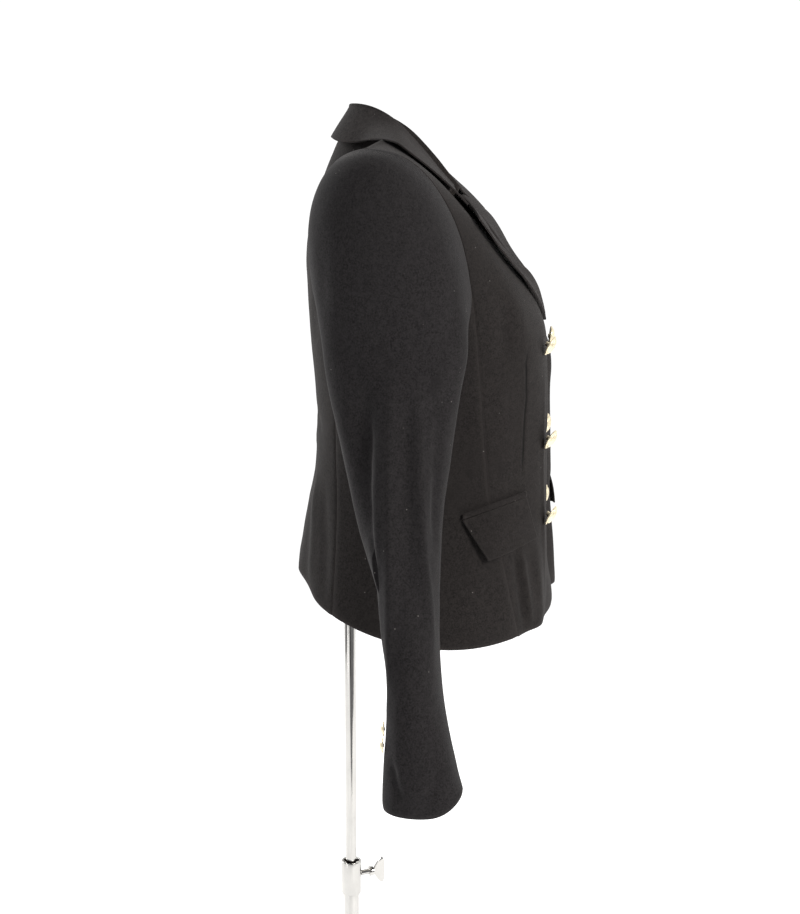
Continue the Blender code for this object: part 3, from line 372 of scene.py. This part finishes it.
def wool(name, colour):
    """Brushed twill wool: fine diagonal ribs under a short nap, with a few pale fibres.
    The ribs follow the cut of the piece, and its edges are painted paler: a painted highlight
    where light grazes the rim."""
    material, tree, shader = new_material(name)
    link = tree.links.new
    cloth = bpy.context.scene.blazer_cloth
    place = add_node(tree, "ShaderNodeTexCoord").outputs["Object"]
    weave = add_node(tree, "ShaderNodeUVMap", uv_map="weave").outputs["UV"]
    ribs = add_node(tree, "ShaderNodeTexWave",
                    {"Scale": math.pi / (5 * math.sqrt(2) * cloth.twill_width),
                     "Distortion": 0.8, "Detail": 2.0, "Detail Scale": 1.5},
                    wave_type="BANDS", bands_direction="DIAGONAL")
    link(weave, ribs.inputs["Vector"])
    threads = noise_of(tree, weave, 1500.0, 2.0, 0.5, (1.0, 0.35, 1.0))
    nap = noise_of(tree, place, 620.0, 4.0, 0.65)
    fuzz = noise_of(tree, place, 210.0, 5.0, 0.7)
    broad = noise_of(tree, place, 9.0, 4.0, 0.6)
    patches = noise_of(tree, place, 46.0, 3.0, 0.6)
    base = mixed(tree, steps(tree, nap, 0.34, 0.68), shade(colour, 0.50), shade(colour, 1.55))
    base = mixed(tree, steps(tree, fuzz, 0.44, 0.76), base, shade(colour, 1.6))
    base = mixed(tree, steps(tree, broad, 0.55, 0.85), base, shade(colour, 1.15))
    base = mixed(tree, steps(tree, patches, 0.60, 0.80), base, shade(colour, 0.88))
    # painted highlight: near each piece's rim the colour is painted up to 2.2 times lighter,
    # standing in for light that grazes the cloth's edge
    edge = add_node(tree, "ShaderNodeAttribute", attribute_name="edge").outputs["Fac"]
    base = mixed(tree, steps(tree, edge, 0.86, 1.25), base, shade(colour, 2.2))
    # painted shade: the dart's seam is painted to a quarter of the wool's colour, standing in
    # for the shade in its sunken groove
    stitch = add_node(tree, "ShaderNodeAttribute", attribute_name="stitch").outputs["Fac"]
    base = mixed(tree, steps(tree, stitch, 0.35, 0.9), base, shade(colour, 0.25))
    link(with_lint(tree, place, base), shader.inputs["Base Color"])
    rough = add_node(tree, "ShaderNodeMapRange", {"To Min": 0.82, "To Max": 0.98})
    link(fuzz, rough.inputs["Value"])
    link(rough.outputs["Result"], shader.inputs["Roughness"])
    shader.inputs["Specular IOR Level"].default_value = 0.12
    shader.inputs["Sheen Weight"].default_value = 0.055
    shader.inputs["Sheen Roughness"].default_value = 0.34
    shader.inputs["Sheen Tint"].default_value = (0.86, 0.83, 0.81, 1.0)
    normal = bumped(tree, ribs.outputs["Fac"], 0.28, 0.00018)
    normal = bumped(tree, threads, 0.25, 0.00016, normal)
    normal = bumped(tree, nap, 0.45, cloth.nap_depth, normal)
    normal = bumped(tree, patches, 0.16, 0.0012, normal)
    link(normal, shader.inputs["Normal"])
    return material


def pale_gold(name, colour):
    """Plated metal with a soft polish, duller in clouds and finely scratched."""
    material, tree, shader = new_material(name)
    place = add_node(tree, "ShaderNodeTexCoord").outputs["Object"]
    cloud = noise_of(tree, place, 260.0, 4.0, 0.6)
    fine = noise_of(tree, place, 2600.0, 3.0, 0.6)
    scratch = noise_of(tree, place, 900.0, 2.0, 0.5, (1.0, 1.0, 9.0))
    base = mixed(tree, steps(tree, cloud, 0.38, 0.70), colour, shade(colour, 0.82))
    base = mixed(tree, steps(tree, scratch, 0.62, 0.78), base, shade(colour, 1.12))
    tree.links.new(base, shader.inputs["Base Color"])
    rough = add_node(tree, "ShaderNodeMapRange", {"To Min": 0.34, "To Max": 0.55})
    tree.links.new(cloud, rough.inputs["Value"])
    tree.links.new(rough.outputs["Result"], shader.inputs["Roughness"])
    shader.inputs["Metallic"].default_value = 1.0
    normal = bumped(tree, fine, 0.12, 0.00008)
    normal = bumped(tree, scratch, 0.10, 0.00008, normal)
    tree.links.new(normal, shader.inputs["Normal"])
    return material


def plated(name, colour, stretch, low, high):
    """Plated or brushed steel: stretch draws its fine lines out, and its roughness lies
    between low and high."""
    material, tree, shader = new_material(name)
    place = add_node(tree, "ShaderNodeTexCoord").outputs["Object"]
    lines = noise_of(tree, place, 700.0, 3.0, 0.6, stretch)
    smear = noise_of(tree, place, 14.0, 5.0, 0.65)
    prints = noise_of(tree, place, 90.0, 4.0, 0.7)
    base = mixed(tree, steps(tree, smear, 0.45, 0.75), colour, shade(colour, 0.84))
    base = mixed(tree, steps(tree, lines, 0.55, 0.85), base, shade(colour, 1.12))
    tree.links.new(base, shader.inputs["Base Color"])
    rough = add_node(tree, "ShaderNodeMapRange", {"To Min": low, "To Max": high})
    tree.links.new(prints, rough.inputs["Value"])
    tree.links.new(rough.outputs["Result"], shader.inputs["Roughness"])
    shader.inputs["Metallic"].default_value = 1.0
    tree.links.new(bumped(tree, lines, 0.06, 0.0001), shader.inputs["Normal"])
    return material


def jersey(name, colour):
    """Cream knitted cover: fine wales that run up the form, and a little soil."""
    material, tree, shader = new_material(name)
    place = add_node(tree, "ShaderNodeTexCoord").outputs["Object"]
    weave = add_node(tree, "ShaderNodeUVMap", uv_map="weave").outputs["UV"]
    wales = add_node(tree, "ShaderNodeTexWave", {"Scale": 190.0, "Distortion": 1.2,
                                                 "Detail": 2.0, "Detail Scale": 2.0},
                     wave_type="BANDS", bands_direction="X")
    rows = add_node(tree, "ShaderNodeTexWave", {"Scale": 240.0, "Distortion": 1.0},
                    wave_type="BANDS", bands_direction="Y")
    for node in (wales, rows):
        tree.links.new(weave, node.inputs["Vector"])
    soil = noise_of(tree, place, 8.0, 5.0, 0.6)
    fuzz = noise_of(tree, place, 420.0, 4.0, 0.65)
    base = mixed(tree, steps(tree, soil, 0.48, 0.78), colour, shade(colour, 0.86))
    base = mixed(tree, steps(tree, wales.outputs["Fac"], 0.2, 0.9), shade(colour, 0.88), base)
    tree.links.new(base, shader.inputs["Base Color"])
    shader.inputs["Roughness"].default_value = 0.9
    shader.inputs["Sheen Weight"].default_value = 0.2
    normal = bumped(tree, wales.outputs["Fac"], 0.3, 0.0003)
    normal = bumped(tree, rows.outputs["Fac"], 0.2, 0.0002, normal)
    normal = bumped(tree, fuzz, 0.25, 0.0003, normal)
    tree.links.new(normal, shader.inputs["Normal"])
    return material


# Finishes: what makes each, the settings and the name of its colour, and further values
FINISHES = {
    "charcoal wool body": (wool, "blazer_cloth", "body_colour", ()),
    "charcoal wool sleeve": (wool, "blazer_cloth", "sleeve_colour", ()),
    "charcoal wool collar": (wool, "blazer_cloth", "collar_colour", ()),
    "pale gold": (pale_gold, "blazer_trim", "button_colour", ()),
    "plated steel": (plated, "blazer_trim", "chrome_colour", ((1.0, 1.0, 0.04), 0.05, 0.16)),
    "brushed steel": (plated, "blazer_trim", "base_colour", ((0.05, 1.0, 1.0), 0.22, 0.42)),
    "cream jersey": (jersey, "blazer_trim", "jersey_colour", ()),
}


def material_named(name):
    """A finish of this object, made the first time that a piece asks for it."""
    if name in bpy.data.materials:
        return bpy.data.materials[name]
    maker, group, setting, values = FINISHES[name]
    colour = tuple(getattr(getattr(bpy.context.scene, group), setting))
    return maker(name, colour, *values)


# ---------------------------------------------------------------- mesh helpers

def only(obj):
    """Makes this the one selected and active object."""
    if bpy.context.object and bpy.context.object.mode != "OBJECT":
        bpy.ops.object.mode_set(mode="OBJECT")
    bpy.ops.object.select_all(action="DESELECT")
    obj.select_set(True)
    bpy.context.view_layer.objects.active = obj


def copy_of(node, name):
    """A merged copy of a solid, in quads where it can be, with no finish yet."""
    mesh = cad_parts[node].data.copy()
    mesh.name = name
    obj = bpy.data.objects.new(name, mesh)
    bpy.context.scene.collection.objects.link(obj)
    mesh.materials.clear()
    only(obj)
    bpy.ops.mesh.customdata_custom_splitnormals_clear()
    bpy.ops.object.mode_set(mode="EDIT")
    bpy.ops.mesh.select_all(action="SELECT")
    bpy.ops.mesh.remove_doubles(threshold=MERGE_DISTANCE)
    bpy.ops.mesh.tris_convert_to_quads(face_threshold=QUAD_ANGLE, shape_threshold=QUAD_ANGLE)
    bpy.ops.mesh.select_all(action="DESELECT")
    bpy.ops.object.mode_set(mode="OBJECT")
    return obj


def halved(obj, levels):
    """Subdivides a piece for good."""
    only(obj)
    modifier = obj.modifiers.new("Halve", "SUBSURF")
    modifier.levels = modifier.render_levels = levels
    modifier.boundary_smooth = "PRESERVE_CORNERS"
    bpy.ops.object.modifier_apply(modifier=modifier.name)


def points_of(mesh):
    """Places of a mesh's points, in metres."""
    flat = np.empty(len(mesh.vertices) * 3)
    mesh.vertices.foreach_get("co", flat)
    return flat.reshape(-1, 3)


def normals_of(mesh):
    """Normals of a mesh's points."""
    flat = np.empty(len(mesh.vertices) * 3)
    mesh.vertices.foreach_get("normal", flat)
    return flat.reshape(-1, 3)


def set_points(mesh, points):
    """Moves a mesh's points to new places."""
    mesh.vertices.foreach_set("co", np.ascontiguousarray(points, dtype=np.float32).ravel())
    mesh.update()


def float_layer(mesh, name, values):
    """Writes a value for each point, for a shader to read by its name."""
    layer = mesh.attributes.new(name, "FLOAT", "POINT")
    layer.data.foreach_set("value", np.ascontiguousarray(values, dtype=np.float32))


def hold_sharp_edges(obj, angle, amount):
    """Holds the edges sharper than an angle when the faces are halved, and leaves them
    selected."""
    only(obj)
    bpy.ops.object.mode_set(mode="EDIT")
    bpy.ops.mesh.select_mode(type="EDGE")
    bpy.ops.mesh.edges_select_sharp(sharpness=angle)
    bpy.ops.transform.edge_crease(value=amount)
    bpy.ops.object.mode_set(mode="OBJECT")


def mark_rim(obj):
    """Holds the rim of a wall of cloth and marks its corners, so that the mark fades
    over the first row of faces."""
    hold_sharp_edges(obj, RIM_ANGLE, RIM_HOLD)
    group = obj.vertex_groups.new(name="rim")
    marked = {index for edge in obj.data.edges if edge.select for index in edge.vertices}
    group.add(sorted(marked), 1.0, "REPLACE")


def rim_of(obj):
    """How near each point is to the rim, from 0 to 1."""
    mesh = obj.data
    values = np.zeros(len(mesh.vertices))
    for vertex in mesh.vertices:
        if vertex.groups:
            values[vertex.index] = vertex.groups[0].weight
    return values


def unrolled(points):
    """Points of the body by how far round it they are, and how high."""
    turn = np.arctan2(points[:, 0] - BODY_AXIS[0] * MM, BODY_AXIS[1] * MM - points[:, 1])
    return np.stack([turn * BODY_RADIUS * MM, points[:, 2]], axis=1)


def nearness(points, line, width, flat=False):
    """How near points are to a line of given points: 1 on it, and gone at about twice
    the width. It fades out towards both ends of the line. Flat measures round the body
    and up, however far out the cloth stands."""
    line = np.asarray(line, dtype=float) * MM
    if flat:
        points, line = unrolled(points), unrolled(line)
    best = np.full(len(points), np.inf)
    along = np.zeros(len(points))
    lengths = np.linalg.norm(np.diff(line, axis=0), axis=1)
    total, before = lengths.sum(), 0.0
    for start, end, length in zip(line, line[1:], lengths):
        part = np.clip((points - start) @ (end - start) / length**2, 0.0, 1.0)
        away = np.linalg.norm(points - (start + part[:, None] * (end - start)), axis=1)
        closer = away < best
        best = np.where(closer, away, best)
        along = np.where(closer, (before + part * length) / total, along)
        before += length
    ends = np.clip(along / CREASE_FADE, 0, 1) * np.clip((1 - along) / CREASE_FADE, 0, 1)
    return np.exp(-(best / (width * MM)) ** 2) * (CREASE_LEFT + (1 - CREASE_LEFT) * ends)


def away_from_body(points):
    """Level directions away from the axis that the body's cloth is worn round."""
    out = points - np.array([BODY_AXIS[0] * MM, BODY_AXIS[1] * MM, 0.0])
    out[:, 2] = 0.0
    return out / np.maximum(np.linalg.norm(out, axis=1, keepdims=True), 1e-6)


def away_from_sleeve(points, side):
    """Level directions away from the middle line of a sleeve."""
    line = np.array(SLEEVE_LINE[::-1], dtype=float) * MM
    middle = np.stack([np.interp(points[:, 2], line[:, 2], line[:, 0]) * -side,
                       np.interp(points[:, 2], line[:, 2], line[:, 1]), points[:, 2]], axis=1)
    out = points - middle
    out[:, 2] = 0.0
    return out / np.maximum(np.linalg.norm(out, axis=1, keepdims=True), 1e-6)


def on_the_left(line):
    """The line that a crease of the right side has on the left one."""
    across, back, up = LEFT_SHIFT
    return [(across - x, y + back, z + up) for x, y, z in line]


def crease(points, kind, side):
    """How far the creases of a kind move each point out; the side is 1 on the left. A
    body's piece has the creases of both sides, a sleeve only its own."""
    total = np.zeros(len(points))
    flat = kind == "body"
    for what, line, width, depth in CREASES:
        if what != kind:
            continue
        if kind == "body" or side < 0:
            total += nearness(points, line, width, flat) * depth * MM
        if kind == "body" or side > 0:
            near = nearness(points, on_the_left(line), width, flat)
            total += near * depth * MM * LEFT_SHARE
    return total * bpy.context.scene.blazer_cloth.crease_scale


def wander(points):
    """Slow unevenness of the cloth, the same for every piece that meets at a place."""
    broad, fine = WANDER_SCALES
    return np.array([noise.noise(Vector(point) * broad)
                     + WANDER_SHARE * noise.noise(Vector(point) * fine) for point in points])


def lay_weave(obj, kind, side):
    """A map of the cloth in metres: round the body or the sleeve, and up."""
    mesh = obj.data
    points = points_of(mesh)
    if kind == "sleeve":
        out = away_from_sleeve(points, side)
        turn = np.arctan2(out[:, 0] * side, out[:, 1])
    elif kind == "collar":
        turn = np.arctan2(points[:, 0], points[:, 1] - BODY_AXIS[1] * MM)
    else:
        out = away_from_body(points)
        turn = np.arctan2(out[:, 0], -out[:, 1])
    turn = turn * WEAVE_RADIUS[kind]
    layer = mesh.uv_layers.new(name="weave")
    corners = np.empty(len(mesh.loops), dtype=np.int64)
    mesh.loops.foreach_get("vertex_index", corners)
    flat = np.stack([turn[corners], points[corners, 2]], axis=1)
    layer.data.foreach_set("uv", np.ascontiguousarray(flat, dtype=np.float32).ravel())


def settled(points, normals, out, front):
    """A lapel's points with the underside of its lower end brought down onto the front
    that it lies on."""
    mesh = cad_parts[front].data
    mesh.calc_loop_triangles()
    tree = BVHTree.FromPolygons([vertex.co for vertex in mesh.vertices],
                                [tuple(face.vertices) for face in mesh.loop_triangles])
    low, high = LAPEL_RESTS
    share = np.clip((high - points[:, 2] / MM) / (high - low), 0, 1)
    # 1 where the cloth faces the front that it lies on, 0 where it faces away from it
    under = np.clip(-(normals * out).sum(axis=1) * 1.3, 0, 1)
    lowered = points.copy()
    for index in np.nonzero(share * under > 0.01)[0]:
        start = Vector(points[index]) + Vector(out[index]) * LAPEL_PROBE * MM
        _, _, _, away = tree.ray_cast(start, -Vector(out[index]), 20 * MM)
        reach = LAPEL_REACH * MM
        if away is not None:
            reach = min(away - LAPEL_CLEAR * MM, reach)
        lowered[index] -= out[index] * max(reach, 0.0) * share[index] * under[index]
    return lowered


def pressed(points, normals, out, rim):
    """Points whose cloth sinks at a seam or an edge, and reaches over the seam's gap."""
    cloth = bpy.context.scene.blazer_cloth
    near = np.clip((rim - RIM_START) / (1 - RIM_START), 0, 1) ** 2
    sideways = normals - out * (normals * out).sum(axis=1)[:, None]
    points = points + sideways * (near * cloth.seam_reach)[:, None]
    return points - out * (near * cloth.edge_pinch)[:, None]


def darted(places, points, out, side):
    """Points with the dart sewn in, and how near each one is to its seam."""
    line = [(x * -side, y, z) for x, y, z in DART]
    stitched = nearness(places, line, DART_SEAM[0], True)
    swell = nearness(places, line, DART_SWELL[0], True)
    points = points - out * (stitched * DART_SEAM[1] * MM)[:, None]
    return points + out * (swell * DART_SWELL[1] * MM)[:, None], stitched


def finish_cloth(node, kind, material, cut):
    """A piece of cloth from its solid: halved, creased, uneven, with pressed edges."""
    side = 1 if node.endswith("left") else -1
    width, length, area, held, rests_on, levels = cut
    obj = copy_of(node, "cloth_" + node)
    mark_rim(obj)
    halved(obj, levels)
    mesh = obj.data
    points, normals, rim = points_of(mesh), normals_of(mesh), rim_of(obj)
    worn_on = "sleeve" if kind == "sleeve" else "body"
    out = away_from_sleeve(points, side) if kind == "sleeve" else away_from_body(points)
    amount = crease(points, worn_on, side)
    amount += wander(points) * bpy.context.scene.blazer_cloth.unevenness
    if node.startswith(("lapel", "pocket", "collar")):
        moved = points + out * amount[:, None]
    else:
        free = 1.0 - np.clip(rim, 0, 1) ** 3
        moved = pressed(points + out * (amount * free)[:, None], normals, out, rim)
    stitched = np.zeros(len(points))
    if node.startswith("front"):
        moved, stitched = darted(points, moved, out, side)
    if node.startswith("lapel"):
        moved = settled(moved, normals, out, node.replace("lapel", "front"))
    set_points(mesh, moved)
    # the rim's nearness also drives the wool's painted highlight along each edge
    float_layer(mesh, "edge", rim)
    # the seam's nearness is also painted dark on the wool, as painted shade in the dart's groove
    float_layer(mesh, "stitch", stitched)
    obj.vertex_groups.clear()
    lay_weave(obj, kind, side)
    mesh.materials.append(material_named(material))
    only(obj)
    bpy.ops.object.shade_smooth()
    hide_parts(node)
    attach(obj, "dressed_form")


def hard_copy(node, name, body, material, angle=32.0, radius=None):
    """A hard piece from its solid, with its edges broken and its rounds shaded smooth."""
    obj = copy_of(node, name)
    only(obj)
    modifier = obj.modifiers.new("Broken edge", "BEVEL")
    modifier.width = radius or bpy.context.scene.blazer_trim.edge_radius
    modifier.segments = 3
    modifier.limit_method = "ANGLE"
    modifier.angle_limit = math.radians(angle)
    bpy.ops.object.modifier_apply(modifier=modifier.name)
    bpy.ops.object.shade_smooth_by_angle(angle=math.radians(angle))
    obj.data.materials.append(material_named(material))
    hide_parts(node)
    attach(obj, body)


# ---------------------------------------------------------------- operators

class BLAZER_OT_body(bpy.types.Operator):
    """Finish the backs, sides and fronts of the blazer"""
    bl_idname = "blazer.body"
    bl_label = "Backs, Sides and Fronts"

    def execute(self, context):
        for piece in ("back", "side", "front"):
            for side in ("right", "left"):
                finish_cloth(f"{piece}_{side}", "body", "charcoal wool body", CUTS[piece])
        return {"FINISHED"}


class BLAZER_OT_sleeves(bpy.types.Operator):
    """Finish the upper and under sleeves"""
    bl_idname = "blazer.sleeves"
    bl_label = "Sleeves"

    def execute(self, context):
        for piece in ("sleeve_upper", "sleeve_under"):
            for side in ("right", "left"):
                finish_cloth(f"{piece}_{side}", "sleeve", "charcoal wool sleeve", CUTS[piece])
        return {"FINISHED"}


class BLAZER_OT_collar(bpy.types.Operator):
    """Finish the collar and the lapels"""
    bl_idname = "blazer.collar"
    bl_label = "Collar and Lapels"

    def execute(self, context):
        finish_cloth("lapel_right", "body", "charcoal wool collar", CUTS["lapel"])
        finish_cloth("lapel_left", "body", "charcoal wool collar", LEFT_LAPEL)
        finish_cloth("collar", "collar", "charcoal wool collar", CUTS["collar"])
        return {"FINISHED"}


class BLAZER_OT_pockets(bpy.types.Operator):
    """Finish the welts and the flaps of the pockets"""
    bl_idname = "blazer.pockets"
    bl_label = "Pockets"

    def execute(self, context):
        for piece in ("pocket_flap", "pocket_welt"):
            for side in ("right", "left"):
                finish_cloth(f"{piece}_{side}", "body", "charcoal wool body", CUTS[piece])
        return {"FINISHED"}


def select_faces(obj, facing):
    """Selects an edited object's faces that look up, or down where facing is -1."""
    build = bmesh.from_edit_mesh(obj.data)
    for face in build.faces:
        face.select = face.normal.z * facing > 0.9
    bmesh.update_edit_mesh(obj.data)


def button_model(radius, height):
    """A domed button on its shank, along +Z from its base at the origin."""
    bpy.ops.object.select_all(action="DESELECT")
    rim = radius * BUTTON_RIM
    back = height - radius * BUTTON_HEAD
    bpy.ops.mesh.primitive_cylinder_add(vertices=48, radius=radius, depth=rim,
                                        location=(0, 0, back + rim / 2))
    obj = bpy.context.object
    bpy.ops.object.transform_apply(location=True, rotation=True, scale=True)
    bpy.ops.object.mode_set(mode="EDIT")
    bpy.ops.mesh.select_mode(type="FACE")
    select_faces(obj, 1)
    dome = height - back - rim
    rise = sum(step for _, step in BUTTON_STEPS)
    for inward, step in BUTTON_STEPS:
        bpy.ops.mesh.inset(thickness=radius * inward, depth=dome * step / rise)
    bpy.ops.mesh.poke()
    select_faces(obj, -1)
    bpy.ops.mesh.inset(thickness=radius * BUTTON_HOLLOW[0], depth=-radius * BUTTON_HOLLOW[1])
    bpy.ops.mesh.inset(thickness=radius * BUTTON_FOOT[0], depth=radius * BUTTON_FOOT[1])
    if back > radius * SHANK_ROOM:
        bpy.ops.mesh.extrude_region_move(
            TRANSFORM_OT_translate={"value": (0, 0, -(back - radius * SHANK_SHORT))})
    bpy.ops.object.mode_set(mode="OBJECT")
    modifier = obj.modifiers.new("Rounded rim", "BEVEL")
    modifier.width, modifier.segments = radius * 0.03, 2
    modifier.limit_method, modifier.angle_limit = "ANGLE", math.radians(50)
    bpy.ops.object.modifier_apply(modifier=modifier.name)
    bpy.ops.object.shade_smooth_by_angle(angle=math.radians(45))
    return obj


def button_place(node, outward):
    """Where a button's solid stands: its base, the way it points, its radius and height."""
    points = points_of(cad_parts[node].data)
    points = np.unique(np.round(points, 6), axis=0)
    middle = points.mean(axis=0)
    _, _, axes = np.linalg.svd(points - middle)
    axis = axes[2] * (1.0 if axes[2] @ np.array(outward) > 0 else -1.0)
    along = (points - middle) @ axis
    radius = np.linalg.norm(points - middle - along[:, None] * axis, axis=1).max()
    return middle + axis * along.min(), axis, radius, along.max() - along.min()


class BLAZER_OT_buttons(bpy.types.Operator):
    """Model the domed buttons of the fronts and the cuffs"""
    bl_idname = "blazer.buttons"
    bl_label = "Buttons"

    def execute(self, context):
        nodes = sorted(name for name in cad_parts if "button" in name)
        for node in nodes:
            outward = (0, 1, 0) if node.startswith("cuff") else (0, -1, 0)
            base, axis, radius, height = button_place(node, outward)
            obj = button_model(radius, height)
            obj.name = obj.data.name = "domed_" + node
            turn = Vector(axis).to_track_quat("Z", "Y").to_matrix().to_4x4()
            obj.data.transform(Matrix.Translation(Vector(base)) @ turn)
            obj.data.materials.append(material_named("pale gold"))
            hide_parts(node)
            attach(obj, "dressed_form")
        return {"FINISHED"}


class BLAZER_OT_form(bpy.types.Operator):
    """Finish the limbless dress form"""
    bl_idname = "blazer.form"
    bl_label = "Dress Form"

    def execute(self, context):
        obj = copy_of("form", "jersey_form")
        hold_sharp_edges(obj, FORM_EDGE_ANGLE, FORM_EDGE_HOLD)
        halved(obj, 2)
        lay_weave(obj, "body", -1)
        only(obj)
        bpy.ops.object.shade_smooth()
        obj.data.materials.append(material_named("cream jersey"))
        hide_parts("form")
        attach(obj, "dressed_form")
        return {"FINISHED"}


class BLAZER_OT_stand(bpy.types.Operator):
    """Finish the base, the pole, the clamp and its wing screw"""
    bl_idname = "blazer.stand"
    bl_label = "Stand"

    def execute(self, context):
        for node in ("base_socket", "lower_tube", "clamp_ring"):
            hard_copy(node, "plated_" + node, "stand", "plated steel")
        hard_copy("base_plate", "brushed_base_plate", "stand", "brushed steel",
                  radius=0.0008)
        hard_copy("mast", "plated_mast", "mast", "plated steel")
        hard_copy("screw_shaft", "plated_screw_shaft", "wing_screw", "plated steel")
        hard_copy("screw_wing", "plated_screw_wing", "wing_screw", "plated steel",
                  angle=40.0, radius=0.0007)
        return {"FINISHED"}


def add_floor(colour):
    """A round pale floor that glows a little, as a lit sweep does."""
    bpy.ops.object.select_all(action="DESELECT")
    bpy.ops.mesh.primitive_circle_add(vertices=96, radius=FLOOR_RADIUS, fill_type="NGON",
                                      location=(0, 0, -0.001))
    floor = bpy.context.object
    floor.name = "floor"
    material, tree, shader = new_material("studio floor")
    place = add_node(tree, "ShaderNodeTexCoord").outputs["Object"]
    cloud = noise_of(tree, place, 3.0)
    base = mixed(tree, cloud, colour, shade(colour, 0.97))
    tree.links.new(base, shader.inputs["Base Color"])
    shader.inputs["Roughness"].default_value = 0.9
    shader.inputs["Emission Color"].default_value = (1, 1, 1, 1)
    shader.inputs["Emission Strength"].default_value = FLOOR_GLOW
    floor.data.materials.append(material)


def add_world(strength):
    """Light from all round, bright where the camera looks and dim behind it."""
    world = bpy.data.worlds.new("Studio")
    bpy.context.scene.world = world
    world.use_nodes = True
    tree = world.node_tree
    background = tree.nodes["Background"]
    background.inputs["Strength"].default_value = strength
    direction = add_node(tree, "ShaderNodeSeparateXYZ")
    tree.links.new(add_node(tree, "ShaderNodeTexCoord").outputs["Generated"],
                   direction.inputs["Vector"])
    bright = steps(tree, direction.outputs["X"], *BRIGHT_FROM)
    tree.links.new(mixed(tree, bright, DIM_SIDE, BRIGHT_SIDE), background.inputs["Color"])


def add_lamp(name, spot, aim, size, power, tint):
    """A soft lamp that the camera doesn't see."""
    data = bpy.data.lights.new(name, "AREA")
    data.shape, data.size, data.size_y = "RECTANGLE", size[0], size[1]
    data.energy, data.color = power, tint
    lamp = bpy.data.objects.new(name, data)
    bpy.context.scene.collection.objects.link(lamp)
    lamp.location = spot
    lamp.visible_camera = False
    lamp.rotation_euler = (Vector(aim) - Vector(spot)).to_track_quat("-Z", "Y").to_euler()


def add_camera(place, turn, dip, lens):
    """The camera where the photograph was taken from."""
    data = bpy.data.cameras.new("Camera")
    data.sensor_fit, data.sensor_width, data.lens = "HORIZONTAL", SENSOR_WIDTH, lens
    data.clip_start, data.clip_end = 0.05, 60.0
    camera = bpy.data.objects.new("Camera", data)
    bpy.context.scene.collection.objects.link(camera)
    camera.location = place
    look = Vector((math.cos(turn) * math.cos(dip), math.sin(turn) * math.cos(dip),
                   -math.sin(dip)))
    camera.rotation_euler = look.to_track_quat("-Z", "Y").to_euler()
    bpy.context.scene.camera = camera


class BLAZER_OT_stage(bpy.types.Operator):
    """Set the floor, the world's light, the soft lights and the camera"""
    bl_idname = "blazer.stage"
    bl_label = "Stage"

    def execute(self, context):
        stage = context.scene.blazer_stage
        add_floor(tuple(stage.floor_colour))
        add_world(stage.light)
        for name, spot, aim, size, power, tint in LAMPS:
            add_lamp(name, spot, aim, size, power * stage.light, tint)
        add_camera(stage.camera_place, stage.camera_turn, stage.camera_dip, stage.lens)
        context.scene.view_settings.view_transform = "Standard"
        return {"FINISHED"}


class BLAZER_PT_panel(bpy.types.Panel):
    """Lists the pieces and their settings"""
    bl_idname = "BLAZER_PT_panel"
    bl_label = "Blazer on a Form"
    bl_space_type = "VIEW_3D"
    bl_region_type = "UI"
    bl_category = "Blazer"

    def draw(self, context):
        column = self.layout.column(align=True)
        for operator in OPERATORS:
            column.operator(operator.bl_idname)
        for group in ("blazer_cloth", "blazer_trim", "blazer_stage"):
            settings = getattr(context.scene, group)
            box = self.layout.box()
            for name in type(settings).__annotations__:
                box.prop(settings, name)


OPERATORS = (BLAZER_OT_body, BLAZER_OT_sleeves, BLAZER_OT_collar, BLAZER_OT_pockets,
             BLAZER_OT_buttons, BLAZER_OT_form, BLAZER_OT_stand, BLAZER_OT_stage)
SETTINGS = (("blazer_cloth", BlazerClothSettings), ("blazer_trim", BlazerTrimSettings),
            ("blazer_stage", BlazerStageSettings))


def register():
    for name, group in SETTINGS:
        bpy.utils.register_class(group)
        setattr(bpy.types.Scene, name, PointerProperty(type=group))
    for operator in OPERATORS:
        bpy.utils.register_class(operator)
    bpy.utils.register_class(BLAZER_PT_panel)


def unregister():
    bpy.utils.unregister_class(BLAZER_PT_panel)
    for operator in reversed(OPERATORS):
        bpy.utils.unregister_class(operator)
    for name, group in reversed(SETTINGS):
        delattr(bpy.types.Scene, name)
        bpy.utils.unregister_class(group)


def main():
    register()
    bpy.ops.blazer.body()
    bpy.ops.blazer.sleeves()
    bpy.ops.blazer.collar()
    bpy.ops.blazer.pockets()
    bpy.ops.blazer.buttons()
    bpy.ops.blazer.form()
    bpy.ops.blazer.stand()
    bpy.ops.blazer.stage()


if __name__ == "__main__":
    main()
